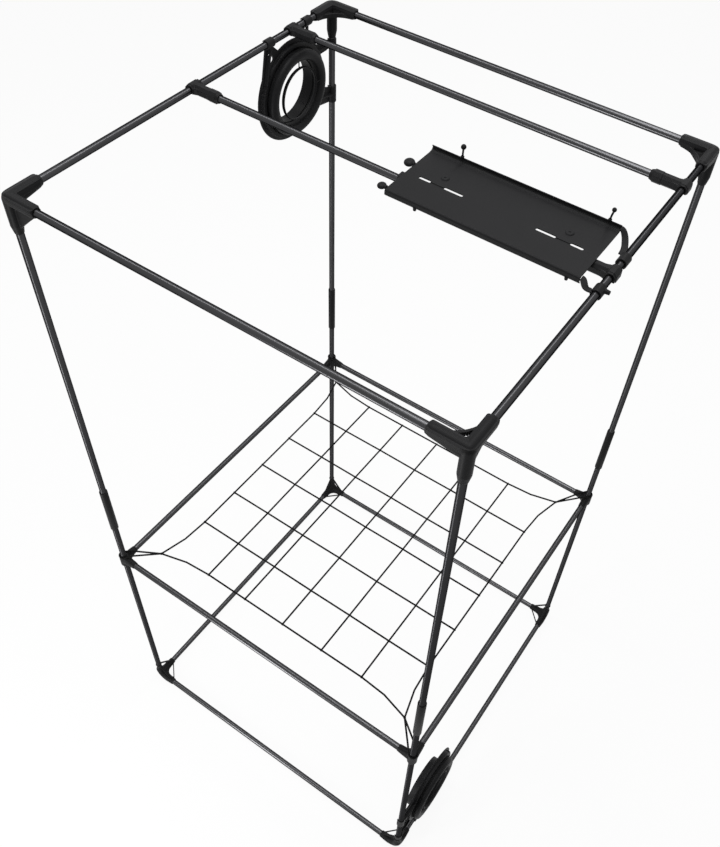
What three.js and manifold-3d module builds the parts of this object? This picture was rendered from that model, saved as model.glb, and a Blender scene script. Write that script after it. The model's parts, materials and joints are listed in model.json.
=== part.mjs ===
// Knock-down pole frame: twelve rails and four legs in moulded corners, a level elastic net,
// two cross poles with an equipment board, and two round duct mounts.
// Millimetres, +Z up. The origin lies on the floor under the middle of the frame;
// +X runs along the front rails and +Y from front to back.
import * as THREE from 'three';
import { mergeVertices } from 'three/addons/utils/BufferGeometryUtils.js';
import Module from 'manifold-3d';

const manifold = await Module();
manifold.setup();

// ---- Overall sizes ----
const frameWidth = 980; // between leg centres along X
const frameDepth = 980; // between leg centres along Y
const frameRise = 1960; // from the bottom rails up to the top rails
const netRise = 735; // from the bottom rails up to the net and its rails
const railLift = 11.5; // bottom rail centres above the floor

// ---- Poles and what they fit into ----
const poleRadius = 8;
const poleWall = 1.2;
const fitGap = 0.3; // between a pole and its socket, and between any two seated pieces
const roundSides = 12; // facets round a pole or a bore
const curveSegments = 4; // facets on each curve of a flat outline
const socketDepth = 30; // from a corner's centre to the bottom of its sockets

// ---- Leg joints ----
const jointRise = 975; // middle of the sleeve above the bottom rails
const sleeveLength = 165;
const sleeveRadius = 10.5;
const sleeveStop = 3; // thickness of the stop ring that keeps the two poles apart

// ---- Bottom corners ----
const baseArm = 58; // reach of the level arms
const baseLegArm = 66; // reach of the upright arm
const baseRadius = 12; // at the elbow
const baseMouth = 10.2; // at the arm ends
const elbowRadius = 34; // centre line of the swept elbows
const strapThickness = 3;
const strapWidth = 7;

// ---- Corners at the net ----
const hubRadius = 13;
const hubTop = 17;
const hubBottom = 21;
const midArm = 42;
const midArmRadius = 10;
const midSocket = 16;
const midFillet = 20; // radius of the plate that fills the angle between the arms

// ---- Top corners ----
const topArm = 72;
const topLegArm = 77;
const topRadius = 13.5;
const deckHeight = 10; // flat top above the rail centres
const deckEdge = 13; // outer faces from the rail centres
const deckChamfer = 10.5;
const legTaper = 13; // length of the tapered mouth of the leg socket
const legMouth = 9.6;
const webThickness = 6;
const loopReach = 61; // the loop wall crosses the angle where x + y equals this
const loopTop = 0;
const loopBottom = -15;

// ---- Cross poles and their T connectors ----
const crossMiddle = 4; // y of the middle cross pole at rest
const crossBack = 334; // y of the rear cross pole at rest
const teeReach = 72; // end of the sleeve from the rail centre
const teeRadius = 12.5;
const teeRim = 13.5;
const teeSocket = 18;
const saddleLength = 44;
const saddleRadius = 15;
const saddleEnd = 11;
const snapWidth = 12.5; // open throat of every clip, less than a pole

// ---- Net ----
const netPitch = 132;
const netLines = 5; // each way, inside the border
const netEdge = 392; // border from the middle
const netCorner = 418; // corner knots from the middle
const cordRadius = 1.7;
const cordSides = 6;
const knotRadius = 3.1;
const loopClearance = 0.8; // between a corner loop and the leg it goes round

// ---- Equipment board ----
const boardFromRail = 242; // its middle from the right side rail
const boardHalf = 206;
const boardFront = -64; // front edge from the cross pole
const boardBack = 106;
const boardThickness = 2;
const lipHeight = 12;
const slotLine = 10; // the slots lie this far behind the cross pole
const slotWidth = 7;
const outerSlot = [149, 176];
const innerSlot = [78, 120];
const bossOffset = 134; // the two bosses from the middle, and their line behind the cross pole
const bossLine = 37;
const nubPlaces = [-138, 181]; // round nubs under the front edge
const boardClipLength = 20;
const hookLength = 24;
const hookBack = 46; // middle of the rear hook's clip from the cross pole
const hookFront = -58;
const ballSides = 8;
const ballRings = 5;

// ---- Duct mounts ----
const ductFromLeg = 160;
const ductFromRail = 150;
const bandOuter = 116;
const bandInner = 106;
const bandBack = -6; // along the duct from the frame's plane
const bandFront = 8;
const flangeOuter = 125;
const armBack = -5; // the plate arms reach forward from here to the frame's plane
const ribThickness = 3;
const ribFront = 9; // front edge of the long stiffeners
const shortRibFront = 6;
const ductBore = 77;
const spigotWall = 3;
const spigotBack = -28;
const lipOuter = 104;
const lipBore = 79;
const lipFront = 28;
const hoopRadius = 63;
const ductSides = 24;
const clipRadius = 11.2; // less than railLift, so that no clip touches the floor
const railClips = [-80, 58]; // along the rail from the ring's centre
const legClips = [58, -78]; // along the leg from the ring's centre
const clipLength = 24;
const longClip = 45;
const rungCount = 11; // cross bars of the notched ladder round the band
const rungStep = (6 * Math.PI) / 180;
const rungWidth = 2.6;
const rungHeight = 2.2;
const spokeWidth = 2.4; // the spokes that carry the small hoop in the mouth
const spokeTurns = [0, 90, 270]; // degrees round the duct

const boreRadius = poleRadius + fitGap;
const X = new THREE.Vector3(1, 0, 0);
const Y = new THREE.Vector3(0, 1, 0);
const Z = new THREE.Vector3(0, 0, 1);

// ---- Materials ----
const paint = (color, roughness, metalness) => (
  new THREE.MeshStandardMaterial({ color, roughness, metalness })
);
const paintedSteel = paint(0x3c3c3e, 0.35, 0.75);
const blackMoulding = paint(0x1d1d1f, 0.6, 0);
const sheetMetal = paint(0x222224, 0.55, 0.3);
const elasticCord = paint(0x151516, 0.85, 0);

// ---- Joining and cutting ----
function solidOf(geometry) {
  const bare = geometry.clone();
  bare.deleteAttribute('normal');
  bare.deleteAttribute('uv');
  const merged = mergeVertices(bare, 1e-4);
  const position = merged.attributes.position;
  const corner = (i) => new THREE.Vector3().fromBufferAttribute(position, i);
  const faces = [];
  let volume = 0;
  for (let i = 0; i < merged.index.count; i += 3) {
    const [a, b, c] = [0, 1, 2].map((k) => merged.index.getX(i + k));
    if (a === b || b === c || c === a) continue;
    faces.push([a, b, c]);
    volume += corner(a).dot(corner(b).cross(corner(c)));
  }
  const outward = volume > 0 ? faces : faces.map(([a, b, c]) => [a, c, b]);
  const vertProperties = new Float32Array(position.array);
  const triVerts = new Uint32Array(outward.flat());
  return new manifold.Manifold(new manifold.Mesh({ numProp: 3, vertProperties, triVerts }));
}

function geometryOf(solid) {
  const { vertProperties, triVerts } = solid.getMesh();
  const indexed = new THREE.BufferGeometry();
  indexed.setAttribute('position', new THREE.BufferAttribute(new Float32Array(vertProperties), 3));
  indexed.setIndex(new THREE.BufferAttribute(new Uint32Array(triVerts), 1));
  const faceted = indexed.toNonIndexed();
  faceted.computeVertexNormals();
  return faceted;
}

const join = (geometries) => geometries.map(solidOf).reduce((whole, next) => whole.add(next));
const cut = (solid, geometries) => geometries.reduce((rest, tool) => rest.subtract(solidOf(tool)), solid);

// ---- Shapes ----
const polygon = (points) => new THREE.Shape(points.map(([u, v]) => new THREE.Vector2(u, v)));

function regular(radius, sides) {
  return polygon(Array.from({ length: sides }, (_, i) => {
    const angle = (i / sides) * 2 * Math.PI;
    return [radius * Math.cos(angle), radius * Math.sin(angle)];
  }));
}

// A flat outline pushed along one axis. Outlines across X are drawn in (y, z), across Y in (x, z).
function slab(outline, axis, from, to) {
  const depth = to - from;
  const geometry = new THREE.ExtrudeGeometry(outline, { depth, bevelEnabled: false, curveSegments });
  if (axis === 'x') {
    return geometry.applyMatrix4(new THREE.Matrix4().makeBasis(Y, Z, X)).translate(from, 0, 0);
  }
  if (axis === 'y') {
    return geometry.applyMatrix4(new THREE.Matrix4().makeBasis(X, Z, Y.clone().negate())).translate(0, to, 0);
  }
  return geometry.translate(0, 0, from);
}

const aim = (geometry, direction) => (
  geometry.applyQuaternion(new THREE.Quaternion().setFromUnitVectors(Z, direction))
);

// A round bar or cone that starts at `from` along the direction and ends at `to`.
function bar(direction, from, to, startRadius, endRadius = startRadius, sides = roundSides) {
  const geometry = new THREE.CylinderGeometry(endRadius, startRadius, to - from, sides);
  return aim(geometry.rotateX(Math.PI / 2).translate(0, 0, (from + to) / 2), direction);
}

// A profile of [radius, along] pairs turned about Z.
function turned(profile, sides = roundSides) {
  const points = profile.map(([radius, along]) => new THREE.Vector2(radius, along));
  return new THREE.LatheGeometry(points, sides).rotateX(Math.PI / 2);
}

// A closed profile turned about X, for everything that is coaxial with a duct.
function turnedAboutX(profile, sides = ductSides) {
  return aim(turned([...profile, profile[0]], sides), X);
}

// A route that passes its points in turn, so that a swept tube has one ring at each of them.
class Route extends THREE.Curve {
  constructor(points) {
    super();
    this.points = points;
  }

  getPoint(t, target = new THREE.Vector3()) {
    const place = t * (this.points.length - 1);
    const index = Math.min(Math.max(Math.floor(place), 0), this.points.length - 2);
    return target.lerpVectors(this.points[index], this.points[index + 1], place - index);
  }

  getUtoTmapping(u) {
    return u;
  }
}

function sweep(section, points) {
  const steps = points.length - 1;
  return new THREE.ExtrudeGeometry(section, { steps, extrudePath: new Route(points), bevelEnabled: false });
}

const tube = (points, radius, sides) => sweep(regular(radius, sides), points);

// Rings of equal count joined by side faces and closed at both ends.
function loft(rings) {
  const count = rings[0].length;
  const faces = [];
  for (let start = 0; start + count < rings.length * count; start += count) {
    for (let side = 0; side < count; side += 1) {
      const a = start + side;
      const b = start + ((side + 1) % count);
      faces.push(a, b, b + count, a, b + count, a + count);
    }
  }
  const last = (rings.length - 1) * count;
  for (let side = 1; side + 1 < count; side += 1) {
    faces.push(0, side + 1, side, last, last + side, last + side + 1);
  }
  const geometry = new THREE.BufferGeometry().setFromPoints(rings.flat());
  geometry.setIndex(faces);
  return geometry;
}

function ellipse(along, halfWidth, halfHeight, sides = roundSides) {
  return Array.from({ length: sides }, (_, i) => {
    const angle = (i / sides) * 2 * Math.PI;
    return new THREE.Vector3(along, halfWidth * Math.cos(angle), halfHeight * Math.sin(angle));
  });
}

// A strip of even thickness along a line of [u, v] points, as a closed outline.
function ribbon(points, thickness) {
  const line = points.map(([u, v]) => new THREE.Vector2(u, v));
  const normal = (a, b) => new THREE.Vector2(a.y - b.y, b.x - a.x).normalize();
  const offset = (i, side) => {
    const before = normal(line[Math.max(i - 1, 0)], line[Math.max(i, 1)]);
    const after = normal(line[Math.min(i, line.length - 2)], line[Math.min(i + 1, line.length - 1)]);
    const mitre = before.clone().add(after).normalize();
    return line[i].clone().addScaledVector(mitre, (side * thickness) / 2 / mitre.dot(after));
  };
  const upper = line.map((_, i) => offset(i, 1));
  const lower = line.map((_, i) => offset(i, -1)).reverse();
  return new THREE.Shape([...upper, ...lower]);
}

// A flat band along points, its width kept level.
function band(points, width, thickness) {
  const rings = points.map((point, i) => {
    const before = points[Math.max(i - 1, 0)];
    const after = points[Math.min(i + 1, points.length - 1)];
    const ahead = after.clone().sub(before).normalize();
    const across = ahead.clone().cross(Z).normalize();
    const up = across.clone().cross(ahead);
    return [[1, 1], [-1, 1], [-1, -1], [1, -1]].map(([u, v]) => (
      point.clone().addScaledVector(across, (u * width) / 2).addScaledVector(up, (v * thickness) / 2)
    ));
  });
  return loft(rings);
}

function slot(from, to, across, width) {
  const radius = width / 2;
  const shape = new THREE.Shape();
  shape.moveTo(from + radius, across - radius);
  shape.lineTo(to - radius, across - radius);
  shape.absarc(to - radius, across, radius, -Math.PI / 2, Math.PI / 2);
  shape.lineTo(from + radius, across + radius);
  shape.absarc(from + radius, across, radius, Math.PI / 2, (3 * Math.PI) / 2);
  return shape;
}

// ---- Poles and sleeves ----
function poleGeometry(length) {
  const inner = poleRadius - poleWall;
  const profile = [[inner, 0], [poleRadius, 0], [poleRadius, length], [inner, length], [inner, 0]];
  return geometryOf(solidOf(turned(profile)));
}

function pole(name, start, direction, length) {
  const mesh = new THREE.Mesh(poleGeometry(length), paintedSteel);
  mesh.name = name;
  mesh.position.copy(start);
  mesh.quaternion.setFromUnitVectors(Z, direction);
  return mesh;
}

function sleeveGeometry() {
  const half = sleeveLength / 2;
  const bevel = 1.5;
  const stop = poleRadius - 1.5 * poleWall;
  const profile = [
    [boreRadius, -half],
    [sleeveRadius - bevel / 2, -half],
    [sleeveRadius, bevel - half],
    [sleeveRadius, half - bevel],
    [sleeveRadius - bevel / 2, half],
    [boreRadius, half],
    [boreRadius, sleeveStop / 2],
    [stop, sleeveStop / 2],
    [stop, -sleeveStop / 2],
    [boreRadius, -sleeveStop / 2],
    [boreRadius, -half],
  ];
  return geometryOf(solidOf(turned(profile)));
}

// ---- Bottom corner: three arms, rounded outside as swept elbows, and three thin straps ----
// What lies outside an elbow between two arms, drawn in the plane of both.
function outsideElbow() {
  const beyond = -3 * baseRadius;
  const outer = elbowRadius + baseRadius;
  const outline = new THREE.Shape();
  outline.moveTo(beyond, beyond);
  outline.lineTo(elbowRadius, beyond);
  outline.lineTo(elbowRadius, elbowRadius - outer);
  outline.absarc(elbowRadius, elbowRadius, outer, -Math.PI / 2, -Math.PI, true);
  outline.lineTo(beyond, elbowRadius);
  return outline;
}

function strap(first, second) {
  const inset = 7;
  const thick = strapThickness * Math.SQRT2;
  return polygon([
    [first - thick, inset],
    [first, inset],
    [inset, second],
    [inset, second - thick],
  ]);
}

// An arm is rounded only by the two elbows that it belongs to, each drawn across one axis.
function baseArmSolid(direction, reach, elbowAxes) {
  const wide = 3 * baseRadius;
  const straight = join([
    bar(direction, -baseRadius, elbowRadius, baseRadius),
    bar(direction, elbowRadius, reach, baseRadius, baseMouth),
  ]);
  return cut(straight, elbowAxes.map((axis) => slab(outsideElbow(), axis, -wide, wide)));
}

function baseCornerGeometry() {
  const levelEnd = baseArm - 4;
  const uprightEnd = baseLegArm - 2;
  const halfStrap = strapWidth / 2;
  const past = 2 * baseLegArm;
  const ground = polygon([[-past, -past], [past, -past], [past, past], [-past, past]]);
  const floor = slab(ground, 'z', -past, -railLift);
  const arms = [
    baseArmSolid(X, baseArm, ['y', 'z']),
    baseArmSolid(Y, baseArm, ['x', 'z']),
    baseArmSolid(Z, baseLegArm, ['x', 'y']),
  ];
  const straps = join([
    slab(strap(levelEnd, levelEnd), 'z', -halfStrap, halfStrap),
    slab(strap(levelEnd, uprightEnd), 'x', -halfStrap, halfStrap),
    slab(strap(levelEnd, uprightEnd), 'y', -halfStrap, halfStrap),
  ]);
  const whole = arms.reduce((sum, arm) => sum.add(arm), straps);
  return geometryOf(cut(whole, [
    floor,
    bar(X, socketDepth, baseArm + 5, boreRadius),
    bar(Y, socketDepth, baseArm + 5, boreRadius),
    bar(Z, socketDepth, baseLegArm + 5, boreRadius),
  ]));
}

// ---- Corner at the net: a hub that slides on the leg, with two flared sockets ----
function flaredArm() {
  return loft([
    ellipse(0, hubRadius, hubTop),
    ellipse(0.7 * midArm, midArmRadius + 0.8, midArmRadius + 2),
    ellipse(midArm, midArmRadius, midArmRadius),
  ]);
}

function midCornerGeometry() {
  const inner = new THREE.Shape();
  const edge = midArmRadius - 2;
  inner.moveTo(0, 0);
  inner.lineTo(edge + midFillet, 0);
  inner.lineTo(edge + midFillet, edge);
  inner.absarc(edge + midFillet, edge + midFillet, midFillet, -Math.PI / 2, -Math.PI, true);
  inner.lineTo(0, edge + midFillet);
  const whole = join([
    bar(Z, -hubBottom, hubTop, hubRadius),
    flaredArm(),
    flaredArm().rotateZ(Math.PI / 2),
    slab(inner, 'z', -edge, edge),
  ]);
  return geometryOf(cut(whole, [
    bar(Z, -hubBottom - 5, hubTop + 5, boreRadius),
    bar(X, midSocket, midArm + 5, boreRadius),
    bar(Y, midSocket, midArm + 5, boreRadius),
  ]));
}

// ---- Top corner: flat deck, round undersides, a loop wall and, on three of the four, a web ----
function topCornerGeometry(webbed) {
  const arm = (direction) => bar(direction, -deckEdge, topArm, topRadius);
  const deckAlongX = polygon([[0, -deckEdge], [topArm, -deckEdge], [topArm, 0], [0, 0]]);
  const deckAlongY = polygon([[-deckEdge, 0], [0, 0], [0, topArm], [-deckEdge, topArm]]);
  const side = topRadius - 1;
  const innerCorner = side + 12; // the square that fills the angle between the arms
  const tip = 4; // rounding at the arm ends
  const plan = new THREE.Shape();
  plan.moveTo(-deckEdge, deckChamfer - deckEdge);
  plan.lineTo(deckChamfer - deckEdge, -deckEdge);
  plan.lineTo(topArm - tip, -deckEdge);
  plan.quadraticCurveTo(topArm, -deckEdge, topArm, tip - deckEdge);
  plan.lineTo(topArm, side - tip);
  plan.quadraticCurveTo(topArm, side, topArm - tip, side);
  plan.lineTo(innerCorner, side);
  plan.lineTo(innerCorner, innerCorner);
  plan.lineTo(side, innerCorner);
  plan.lineTo(side, topArm - tip);
  plan.quadraticCurveTo(side, topArm, side - tip, topArm);
  plan.lineTo(tip - deckEdge, topArm);
  plan.quadraticCurveTo(-deckEdge, topArm, -deckEdge, topArm - tip);
  const trim = solidOf(slab(plan, 'z', -topLegArm - 1, deckHeight));
  const body = join([
    arm(X),
    arm(Y),
    slab(deckAlongX, 'z', 0, deckHeight),
    slab(deckAlongY, 'z', 0, deckHeight),
    bar(Z, -topLegArm, legTaper - topLegArm, legMouth, deckEdge),
    bar(Z, legTaper - topLegArm, 0, deckEdge),
  ]);
  const inset = 8; // the loop wall ends this far inside each arm
  const bow = 4;
  const loopWall = strapThickness * Math.SQRT2;
  const outer = loopReach / 2 - bow;
  const inner = outer - loopWall / 2;
  const loop = new THREE.Shape();
  loop.moveTo(loopReach - inset, inset);
  loop.quadraticCurveTo(outer, outer, inset, loopReach - inset);
  loop.lineTo(inset, loopReach - inset - loopWall);
  loop.quadraticCurveTo(inner, inner, loopReach - inset - loopWall, inset);
  const webReach = topArm - 8;
  const webFoot = -0.8 * topLegArm;
  const web = new THREE.Shape();
  web.moveTo(0, 0);
  web.lineTo(webReach, 0);
  web.lineTo(webReach, -topRadius - 2);
  web.quadraticCurveTo(0.45 * topArm, webFoot / 2, topRadius - 3, webFoot);
  web.lineTo(0, webFoot);
  let whole = body.intersect(trim).add(solidOf(slab(loop, 'z', loopBottom, loopTop)));
  if (webbed) whole = whole.add(solidOf(slab(web, 'y', -webThickness / 2, webThickness / 2)));
  return geometryOf(cut(whole, [
    bar(X, socketDepth, topArm + 5, boreRadius),
    bar(Y, socketDepth, topArm + 5, boreRadius),
    bar(Z, -topLegArm - 5, -socketDepth, boreRadius),
  ]));
}

// The open side of a clip: a gap that faces down.
function throatOutline() {
  const half = snapWidth / 2;
  const depth = 2 * saddleRadius;
  return polygon([[-half, -depth], [half, -depth], [half, 0], [-half, 0]]);
}

// ---- T connector: an open saddle along Y and a sleeve along +X ----
function archRing(y, radius) {
  const foot = -0.5 * radius;
  const points = [
    [-radius, foot], [-radius, 0.25 * radius], [-0.5 * radius, 0.9 * radius],
    [0.5 * radius, 0.9 * radius], [radius, 0.25 * radius], [radius, foot],
  ];
  return points.map(([x, z]) => new THREE.Vector3(x, y, z));
}

function teeGeometry() {
  const half = saddleLength / 2;
  const whole = join([
    loft([archRing(-half, saddleEnd), archRing(0, saddleRadius), archRing(half, saddleEnd)]),
    loft([
      ellipse(4, half - 3, saddleEnd - 1),
      ellipse(teeSocket, teeRadius + 2, teeRadius - 1),
      ellipse(teeSocket + 10, teeRadius, teeRadius),
      ellipse(teeReach - 5, teeRadius, teeRadius),
      ellipse(teeReach - 4, teeRim, teeRim),
      ellipse(teeReach, teeRim, teeRim),
    ]),
  ]);
  const throat = slab(throatOutline(), 'y', -half - 5, half + 5);
  return geometryOf(cut(whole, [
    bar(Y, -half - 5, half + 5, boreRadius),
    throat,
    bar(X, teeSocket, teeReach + 5, boreRadius),
  ]));
}

// ---- Net: five lines each way inside a border, with a loop round each leg ----
function cornerLoop() {
  const span = Math.hypot(frameWidth / 2 - netCorner, frameDepth / 2 - netCorner);
  const turn = poleRadius + loopClearance + cordRadius;
  const rise = hubTop + fitGap + cordRadius;
  const rest = span - 26;
  const wrap = Math.PI - Math.acos(turn / span);
  const steps = 6;
  const at = (along, across) => {
    const height = rise * Math.min(along / rest, 1);
    const place = new THREE.Vector3(along, across, height);
    return place.applyAxisAngle(Z, Math.atan2(frameDepth / 2 - netCorner, frameWidth / 2 - netCorner))
      .add(new THREE.Vector3(netCorner, netCorner, 0));
  };
  const arc = Array.from({ length: steps + 1 }, (_, i) => {
    const angle = wrap * (1 - (2 * i) / steps);
    return at(span + turn * Math.cos(angle), turn * Math.sin(angle));
  });
  const touch = turn * Math.sin(wrap);
  const share = rest / (span + turn * Math.cos(wrap));
  const route = [at(0, 0), at(rest, touch * share), ...arc, at(rest, -touch * share), at(0, 0)];
  return tube(route, cordRadius, cordSides);
}

function netGeometry() {
  const side = (turns, corner) => (
    new THREE.Vector3(...corner).applyAxisAngle(Z, (turns * Math.PI) / 2)
  );
  const knot = (place) => new THREE.OctahedronGeometry(knotRadius, 0).translate(place.x, place.y, place.z);
  const outerLine = (netPitch * (netLines - 1)) / 2;
  const pieces = [];
  for (let i = 0; i < netLines; i += 1) {
    const place = i * netPitch - outerLine;
    pieces.push(bar(X, -netEdge, netEdge, cordRadius, cordRadius, cordSides).translate(0, place, 0));
    pieces.push(bar(Y, -netEdge, netEdge, cordRadius, cordRadius, cordSides).translate(place, 0, 0));
  }
  for (let turns = 0; turns < 4; turns += 1) {
    const border = [
      [-netCorner, -netCorner, 0],
      [-(netCorner + outerLine) / 2, -netEdge - (netCorner - netEdge) * 0.22, 0],
      [-outerLine, -netEdge, 0],
      [outerLine, -netEdge, 0],
      [(netCorner + outerLine) / 2, -netEdge - (netCorner - netEdge) * 0.22, 0],
      [netCorner, -netCorner, 0],
    ];
    pieces.push(tube(border.map((place) => side(turns, place)), cordRadius, cordSides));
    for (let i = 0; i < netLines; i += 1) {
      pieces.push(knot(side(turns, [i * netPitch - outerLine, -netEdge, 0])));
    }
    pieces.push(knot(side(turns, [netCorner, netCorner, 0])));
  }
  const corners = [[1, 1], [-1, 1], [-1, -1], [1, -1]];
  for (const [x, y] of corners) pieces.push(cornerLoop().scale(x, y, 1));
  return geometryOf(join(pieces));
}

// ---- Equipment board and what is fixed to it; the cross pole's centre is its origin ----
const boardUnder = teeRim + fitGap;
const boardTop = boardUnder + boardThickness;

function boardGeometry() {
  const level = boardUnder + boardThickness / 2;
  const section = ribbon([
    [boardFront + 5, level - 14],
    [boardFront + 1, level - 10],
    [boardFront + 1, level - 3],
    [boardFront + 4, level],
    [boardBack - 11, level],
    [boardBack - 5, level + 2],
    [boardBack - 1.5, level + 6.5],
    [boardBack - 1, level + lipHeight - 2],
    [boardBack - 4, level + lipHeight],
  ], boardThickness);
  const pieces = [slab(section, 'x', -boardHalf, boardHalf)];
  const slots = [];
  const bead = ribbon([[innerSlot[1] - 3, 0], [outerSlot[0] + 3, 0]], 3); // pressed between two slots
  for (const side of [-1, 1]) {
    const boss = bar(Z, level, boardTop + 2, 10, 7);
    const dimple = bar(Z, boardTop + 0.8, boardTop + 4, 2, 4);
    pieces.push(boss.translate(side * bossOffset, bossLine, 0));
    pieces.push(slab(bead, 'z', level, boardTop + 1.2).translate(0, slotLine, 0).scale(side, 1, 1));
    for (const [from, to] of [outerSlot, innerSlot]) {
      const through = slab(slot(from, to, slotLine, slotWidth), 'z', boardUnder - 5, boardTop + 5);
      slots.push(through.scale(side, 1, 1));
    }
    slots.push(dimple.translate(side * bossOffset, bossLine, 0));
  }
  for (const place of nubPlaces) {
    pieces.push(bar(Z, level - 17, level - 10, 3, 4, 8).translate(place, boardFront + 2, 0));
  }
  return geometryOf(cut(join(pieces), slots));
}

// An open clip round a pole along Z from `from` to `to`, with its throat towards `open`.
function clip(from, to, open) {
  const half = snapWidth / 2;
  const past = 1.5 * clipRadius;
  const gap = polygon([[0, -half], [past, -half], [past, half], [0, half]]);
  const throat = slab(gap, 'z', from - 1, to + 1).rotateZ(open);
  return cut(solidOf(bar(Z, from, to, clipRadius)), [bar(Z, from - 1, to + 1, boreRadius), throat]);
}

// The clip that holds the board's free end to the cross pole, with a flat pad under the sheet.
function boardClipGeometry() {
  const padHalf = 9;
  const padTop = boardUnder - fitGap;
  const padSection = polygon([[-padHalf, 0], [padHalf, 0], [padHalf, padTop], [-padHalf, padTop]]);
  const pad = slab(padSection, 'x', -boardClipLength / 2, boardClipLength / 2);
  const barrel = bar(X, -boardClipLength / 2, boardClipLength / 2, clipRadius);
  const throat = slab(throatOutline(), 'x', -boardClipLength, boardClipLength);
  const bore = bar(X, -boardClipLength, boardClipLength, boreRadius);
  return geometryOf(cut(join([pad, barrel]), [bore, throat]));
}

// A curved band from one end of the board down to a clip on the side rail.
function boardHookGeometry(points, middle, side) {
  const half = hookLength / 2;
  const start = Math.min(middle - half, middle + half);
  const throat = slab(throatOutline(), 'y', start - 1, start + hookLength + 1);
  const knob = bar(X, clipRadius - 2, clipRadius + 8, 5, 4, 8).translate(0, middle + side * 6, 2);
  const parts = [bar(Y, start, start + hookLength, clipRadius), band(points, 13, 3)];
  if (side > 0) parts.push(knob);
  const bore = bar(Y, start - hookLength, start + 2 * hookLength, boreRadius);
  return geometryOf(cut(join(parts), [bore, throat]));
}

function ballPegGeometry(ballRadius, stem, lean) {
  const shaft = [[0, 1], [0.15, 0.4], [0.5, 0.75], [1, 1]]
    .map(([share, height], i) => new THREE.Vector3(share * lean, 0, i === 0 ? height : height * stem));
  const ball = new THREE.SphereGeometry(ballRadius, ballSides, ballRings).rotateX(Math.PI / 2);
  return geometryOf(join([
    bar(Z, 0, 2.5, 4, 3.4, 8),
    tube(shaft, 2, 6),
    ball.translate(lean, 0, stem + ballRadius * 0.8),
  ]));
}

// A ball on a short level neck, for the left edge of the board.
function sideKnobGeometry(ballRadius, neck) {
  const ball = new THREE.SphereGeometry(ballRadius, ballSides, ballRings);
  return geometryOf(join([bar(X, -neck - 2, 0, 4, 3.2, 8), ball.translate(-neck - ballRadius, 0, 0)]));
}

// ---- Duct mount: band, rear flange and four pole clips on plate arms; the duct runs along +X ----
function ductMountGeometry() {
  const plate = (points) => slab(polygon(points), 'x', armBack, 0);
  const band = turnedAboutX([
    [bandInner, bandBack],
    [flangeOuter, bandBack],
    [flangeOuter, bandBack + 3.5],
    [bandOuter, bandBack + 5],
    [bandOuter, bandFront],
    [bandInner, bandFront],
  ]);
  const [farRail, nearRail] = railClips;
  const [highLeg, lowLeg] = legClips;
  const railFoot = ductFromRail - boreRadius - 1;
  const legFoot = ductFromLeg - boreRadius - 1;
  const arms = [
    plate([[-112, 42], [farRail - 11, railFoot], [farRail + 11, railFoot], [-38, 112], [-70, 88]]),
    plate([[nearRail - 20, 100], [nearRail - 12, 100], [nearRail - 4, railFoot], [nearRail - 11, railFoot]]),
    plate([[nearRail + 2, 92], [nearRail + 10, 92], [nearRail + 10, railFoot], [nearRail + 3, railFoot]]),
    plate([[78, 78], [100, 45], [legFoot, highLeg - 11], [legFoot, highLeg + 11]]),
    plate([[104, -40], [legFoot, lowLeg + 20], [legFoot, lowLeg - 21], [76, -86]]),
  ];
  const sill = railFoot - 12;
  const windowOutline = polygon([[-90, 74], [farRail - 5, sill], [farRail + 3, sill], [-62, 104], [-74, 93]]);
  const window = slab(windowOutline, 'x', bandBack, 1);
  const rib = (points, front) => slab(ribbon(points, ribThickness), 'x', armBack, front);
  const stiffeners = [
    rib([[-100, 58], [farRail, railFoot]], ribFront),
    rib([[92, -62], [legFoot, lowLeg]], ribFront),
    rib([[90, 62], [legFoot, highLeg]], shortRibFront),
  ];
  const [foot, tip, half] = [bandOuter - 2, bandOuter + rungHeight, rungWidth / 2];
  const rung = polygon([[foot, -half], [tip, -half], [tip, half], [foot, half]]);
  const rungs = Array.from({ length: rungCount }, (_, i) => (
    slab(rung, 'x', bandBack + 3, bandFront - 2).rotateX(Math.PI + (i - (rungCount - 1) / 2) * rungStep)
  ));
  const along = (length, middle) => [middle - length / 2, middle + length / 2];
  let whole = cut(join([band, ...arms, ...stiffeners, ...rungs]), [window]);
  for (const middle of railClips) {
    const [from, to] = along(clipLength, middle);
    const alongY = new THREE.Matrix4().makeBasis(X, Z.clone().negate(), Y);
    const holder = geometryOf(clip(from, to, Math.PI)).applyMatrix4(alongY);
    whole = whole.subtract(solidOf(bar(Y, from - 1, to + 1, boreRadius).translate(0, 0, ductFromRail)));
    whole = whole.add(solidOf(holder.translate(0, 0, ductFromRail)));
  }
  for (const [middle, length] of [[highLeg, clipLength], [lowLeg, longClip]]) {
    const [from, to] = along(length, middle);
    whole = whole.subtract(solidOf(bar(Z, from - 1, to + 1, boreRadius).translate(0, ductFromLeg, 0)));
    whole = whole.add(solidOf(geometryOf(clip(from, to, Math.PI)).translate(0, ductFromLeg, 0)));
  }
  return geometryOf(whole);
}

function ductSpigotGeometry() {
  const outer = ductBore + spigotWall;
  return geometryOf(solidOf(turnedAboutX([
    [ductBore, spigotBack], [outer, spigotBack], [outer, -4], [bandInner - fitGap, -4],
    [bandInner - fitGap, 2], [outer, 2], [ductBore, 2],
  ])));
}

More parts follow.
